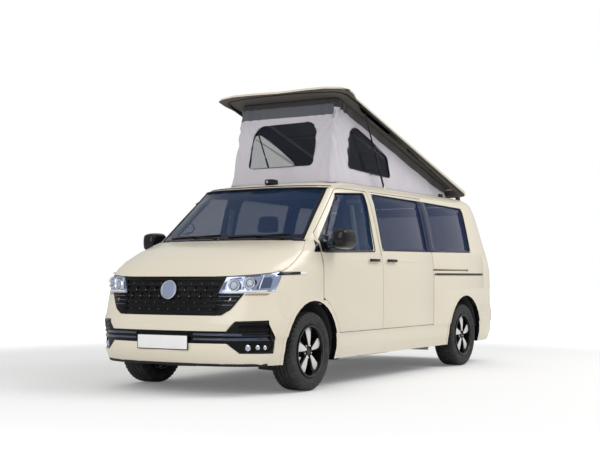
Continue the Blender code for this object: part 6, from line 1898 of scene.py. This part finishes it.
        top = [Turned(((0.085, 0), (0.090, 0.003), (0.086, 0.004), (0.072, -0.002), (0.030, -0.004)), 40).build(
            Matrix.Translation((-0.66, along(s), 1.1505))) for s in (2.92, 3.22)]
        settled(joined(top), "hob_rings", "root", "bright_steel")

    def build(self, panels: Panels) -> None:
        """Build the whole cabin."""
        self.front_seats()
        self.bench()
        self.dashboard(panels)
        self.trims(panels)


# Studio


@dataclass(frozen=True)
class Studio:
    """The camera at the photograph's viewpoint, a pale floor and soft light."""

    eye: Point3 = (5.962, -10.352, 0.988)
    yaw: float = math.radians(30.894)
    pitch: float = math.radians(2.625)
    focal_pixels: float = 1140.5
    picture_width: float = 600
    floor_size: float = 160
    bright_from: float = 4.5
    bright_to: float = 9.0

    def camera(self) -> None:
        """Make the camera."""
        data = bpy.data.cameras.new("camera")
        data.sensor_width = 36
        data.lens = self.focal_pixels * data.sensor_width / self.picture_width
        data.clip_end = 400
        camera = bpy.data.objects.new("camera", data)
        bpy.context.scene.collection.objects.link(camera)
        camera.location = self.eye
        camera.rotation_euler = (math.pi / 2 + self.pitch, 0, self.yaw)
        bpy.context.scene.camera = camera

    def floor(self) -> None:
        """Make the pale floor, which is white to the camera but keeps the shadow."""
        bpy.ops.object.select_all(action="DESELECT")
        bpy.ops.mesh.primitive_grid_add(x_subdivisions=2, y_subdivisions=2, size=self.floor_size,
                                        location=(0, 0, -0.001))
        floor = bpy.context.active_object
        floor.name = "floor"
        graph = Graph("floor")
        ray = graph.node("ShaderNodeLightPath", output="Is Camera Ray")
        x, y, _ = graph.axes()
        reach = ((x * x + y * y) ** 0.5).step(self.bright_from, self.bright_to)
        graph.set(Base_Color=(0.86, 0.86, 0.86), Roughness=0.9, Emission_Color=(1.0, 1.0, 1.0),
                  Emission_Strength=ray * (reach * 0.68 + 0.12))
        floor.data.materials.append(graph.material)

    def light(self) -> None:
        """Make the world and the lamps."""
        scene = bpy.context.scene
        world = bpy.data.worlds.new("studio")
        scene.world = world
        world.use_nodes = True
        tree = world.node_tree
        back = tree.nodes["Background"]
        path = tree.nodes.new("ShaderNodeLightPath")
        total = tree.nodes.new("ShaderNodeMath")
        total.operation = "ADD"
        total.use_clamp = True
        tree.links.new(path.outputs["Is Camera Ray"], total.inputs[0])
        tree.links.new(path.outputs["Is Transmission Ray"], total.inputs[1])
        level = tree.nodes.new("ShaderNodeMapRange")
        tree.links.new(total.outputs[0], level.inputs["Value"])
        level.inputs["To Min"].default_value = 0.60
        level.inputs["To Max"].default_value = 1.0
        tree.links.new(level.outputs[0], back.inputs["Strength"])
        back.inputs["Color"].default_value = (1, 1, 1, 1)
        for name, place, size, power in (("key", (7.5, 3.5, 9.5), 7.0, 620),
                                         ("front", (1.0, -11.0, 5.5), 7.0, 330)):
            data = bpy.data.lights.new(name, "AREA")
            data.size = size
            data.energy = power
            lamp = bpy.data.objects.new(name, data)
            scene.collection.objects.link(lamp)
            lamp.location = place
            lamp.rotation_euler = (Vector((0, 0, 0.9)) - Vector(place)).to_track_quat("-Z", "Y").to_euler()
        scene.view_settings.view_transform = "Standard"


# The whole van


def main() -> None:
    """Build the studio and every sub-assembly, and report each piece."""
    logging.basicConfig(level=logging.INFO, format="%(message)s")
    studio = Studio()
    studio.camera()
    studio.floor()
    studio.light()
    panels = Panels()
    Wheel().build(panels)
    RaisedRoof().build(panels, Surface("roof_frame", "side_panel_left", "side_panel_right"))
    Front().build(panels)
    Glazing().build(panels)
    Tail().build(panels)
    Cabin().build(panels)
    for node in sorted(frame["nodes"]):
        if not frame["nodes"][node].hide_render:
            panels.build(node)


if __name__ == "__main__":
    main()
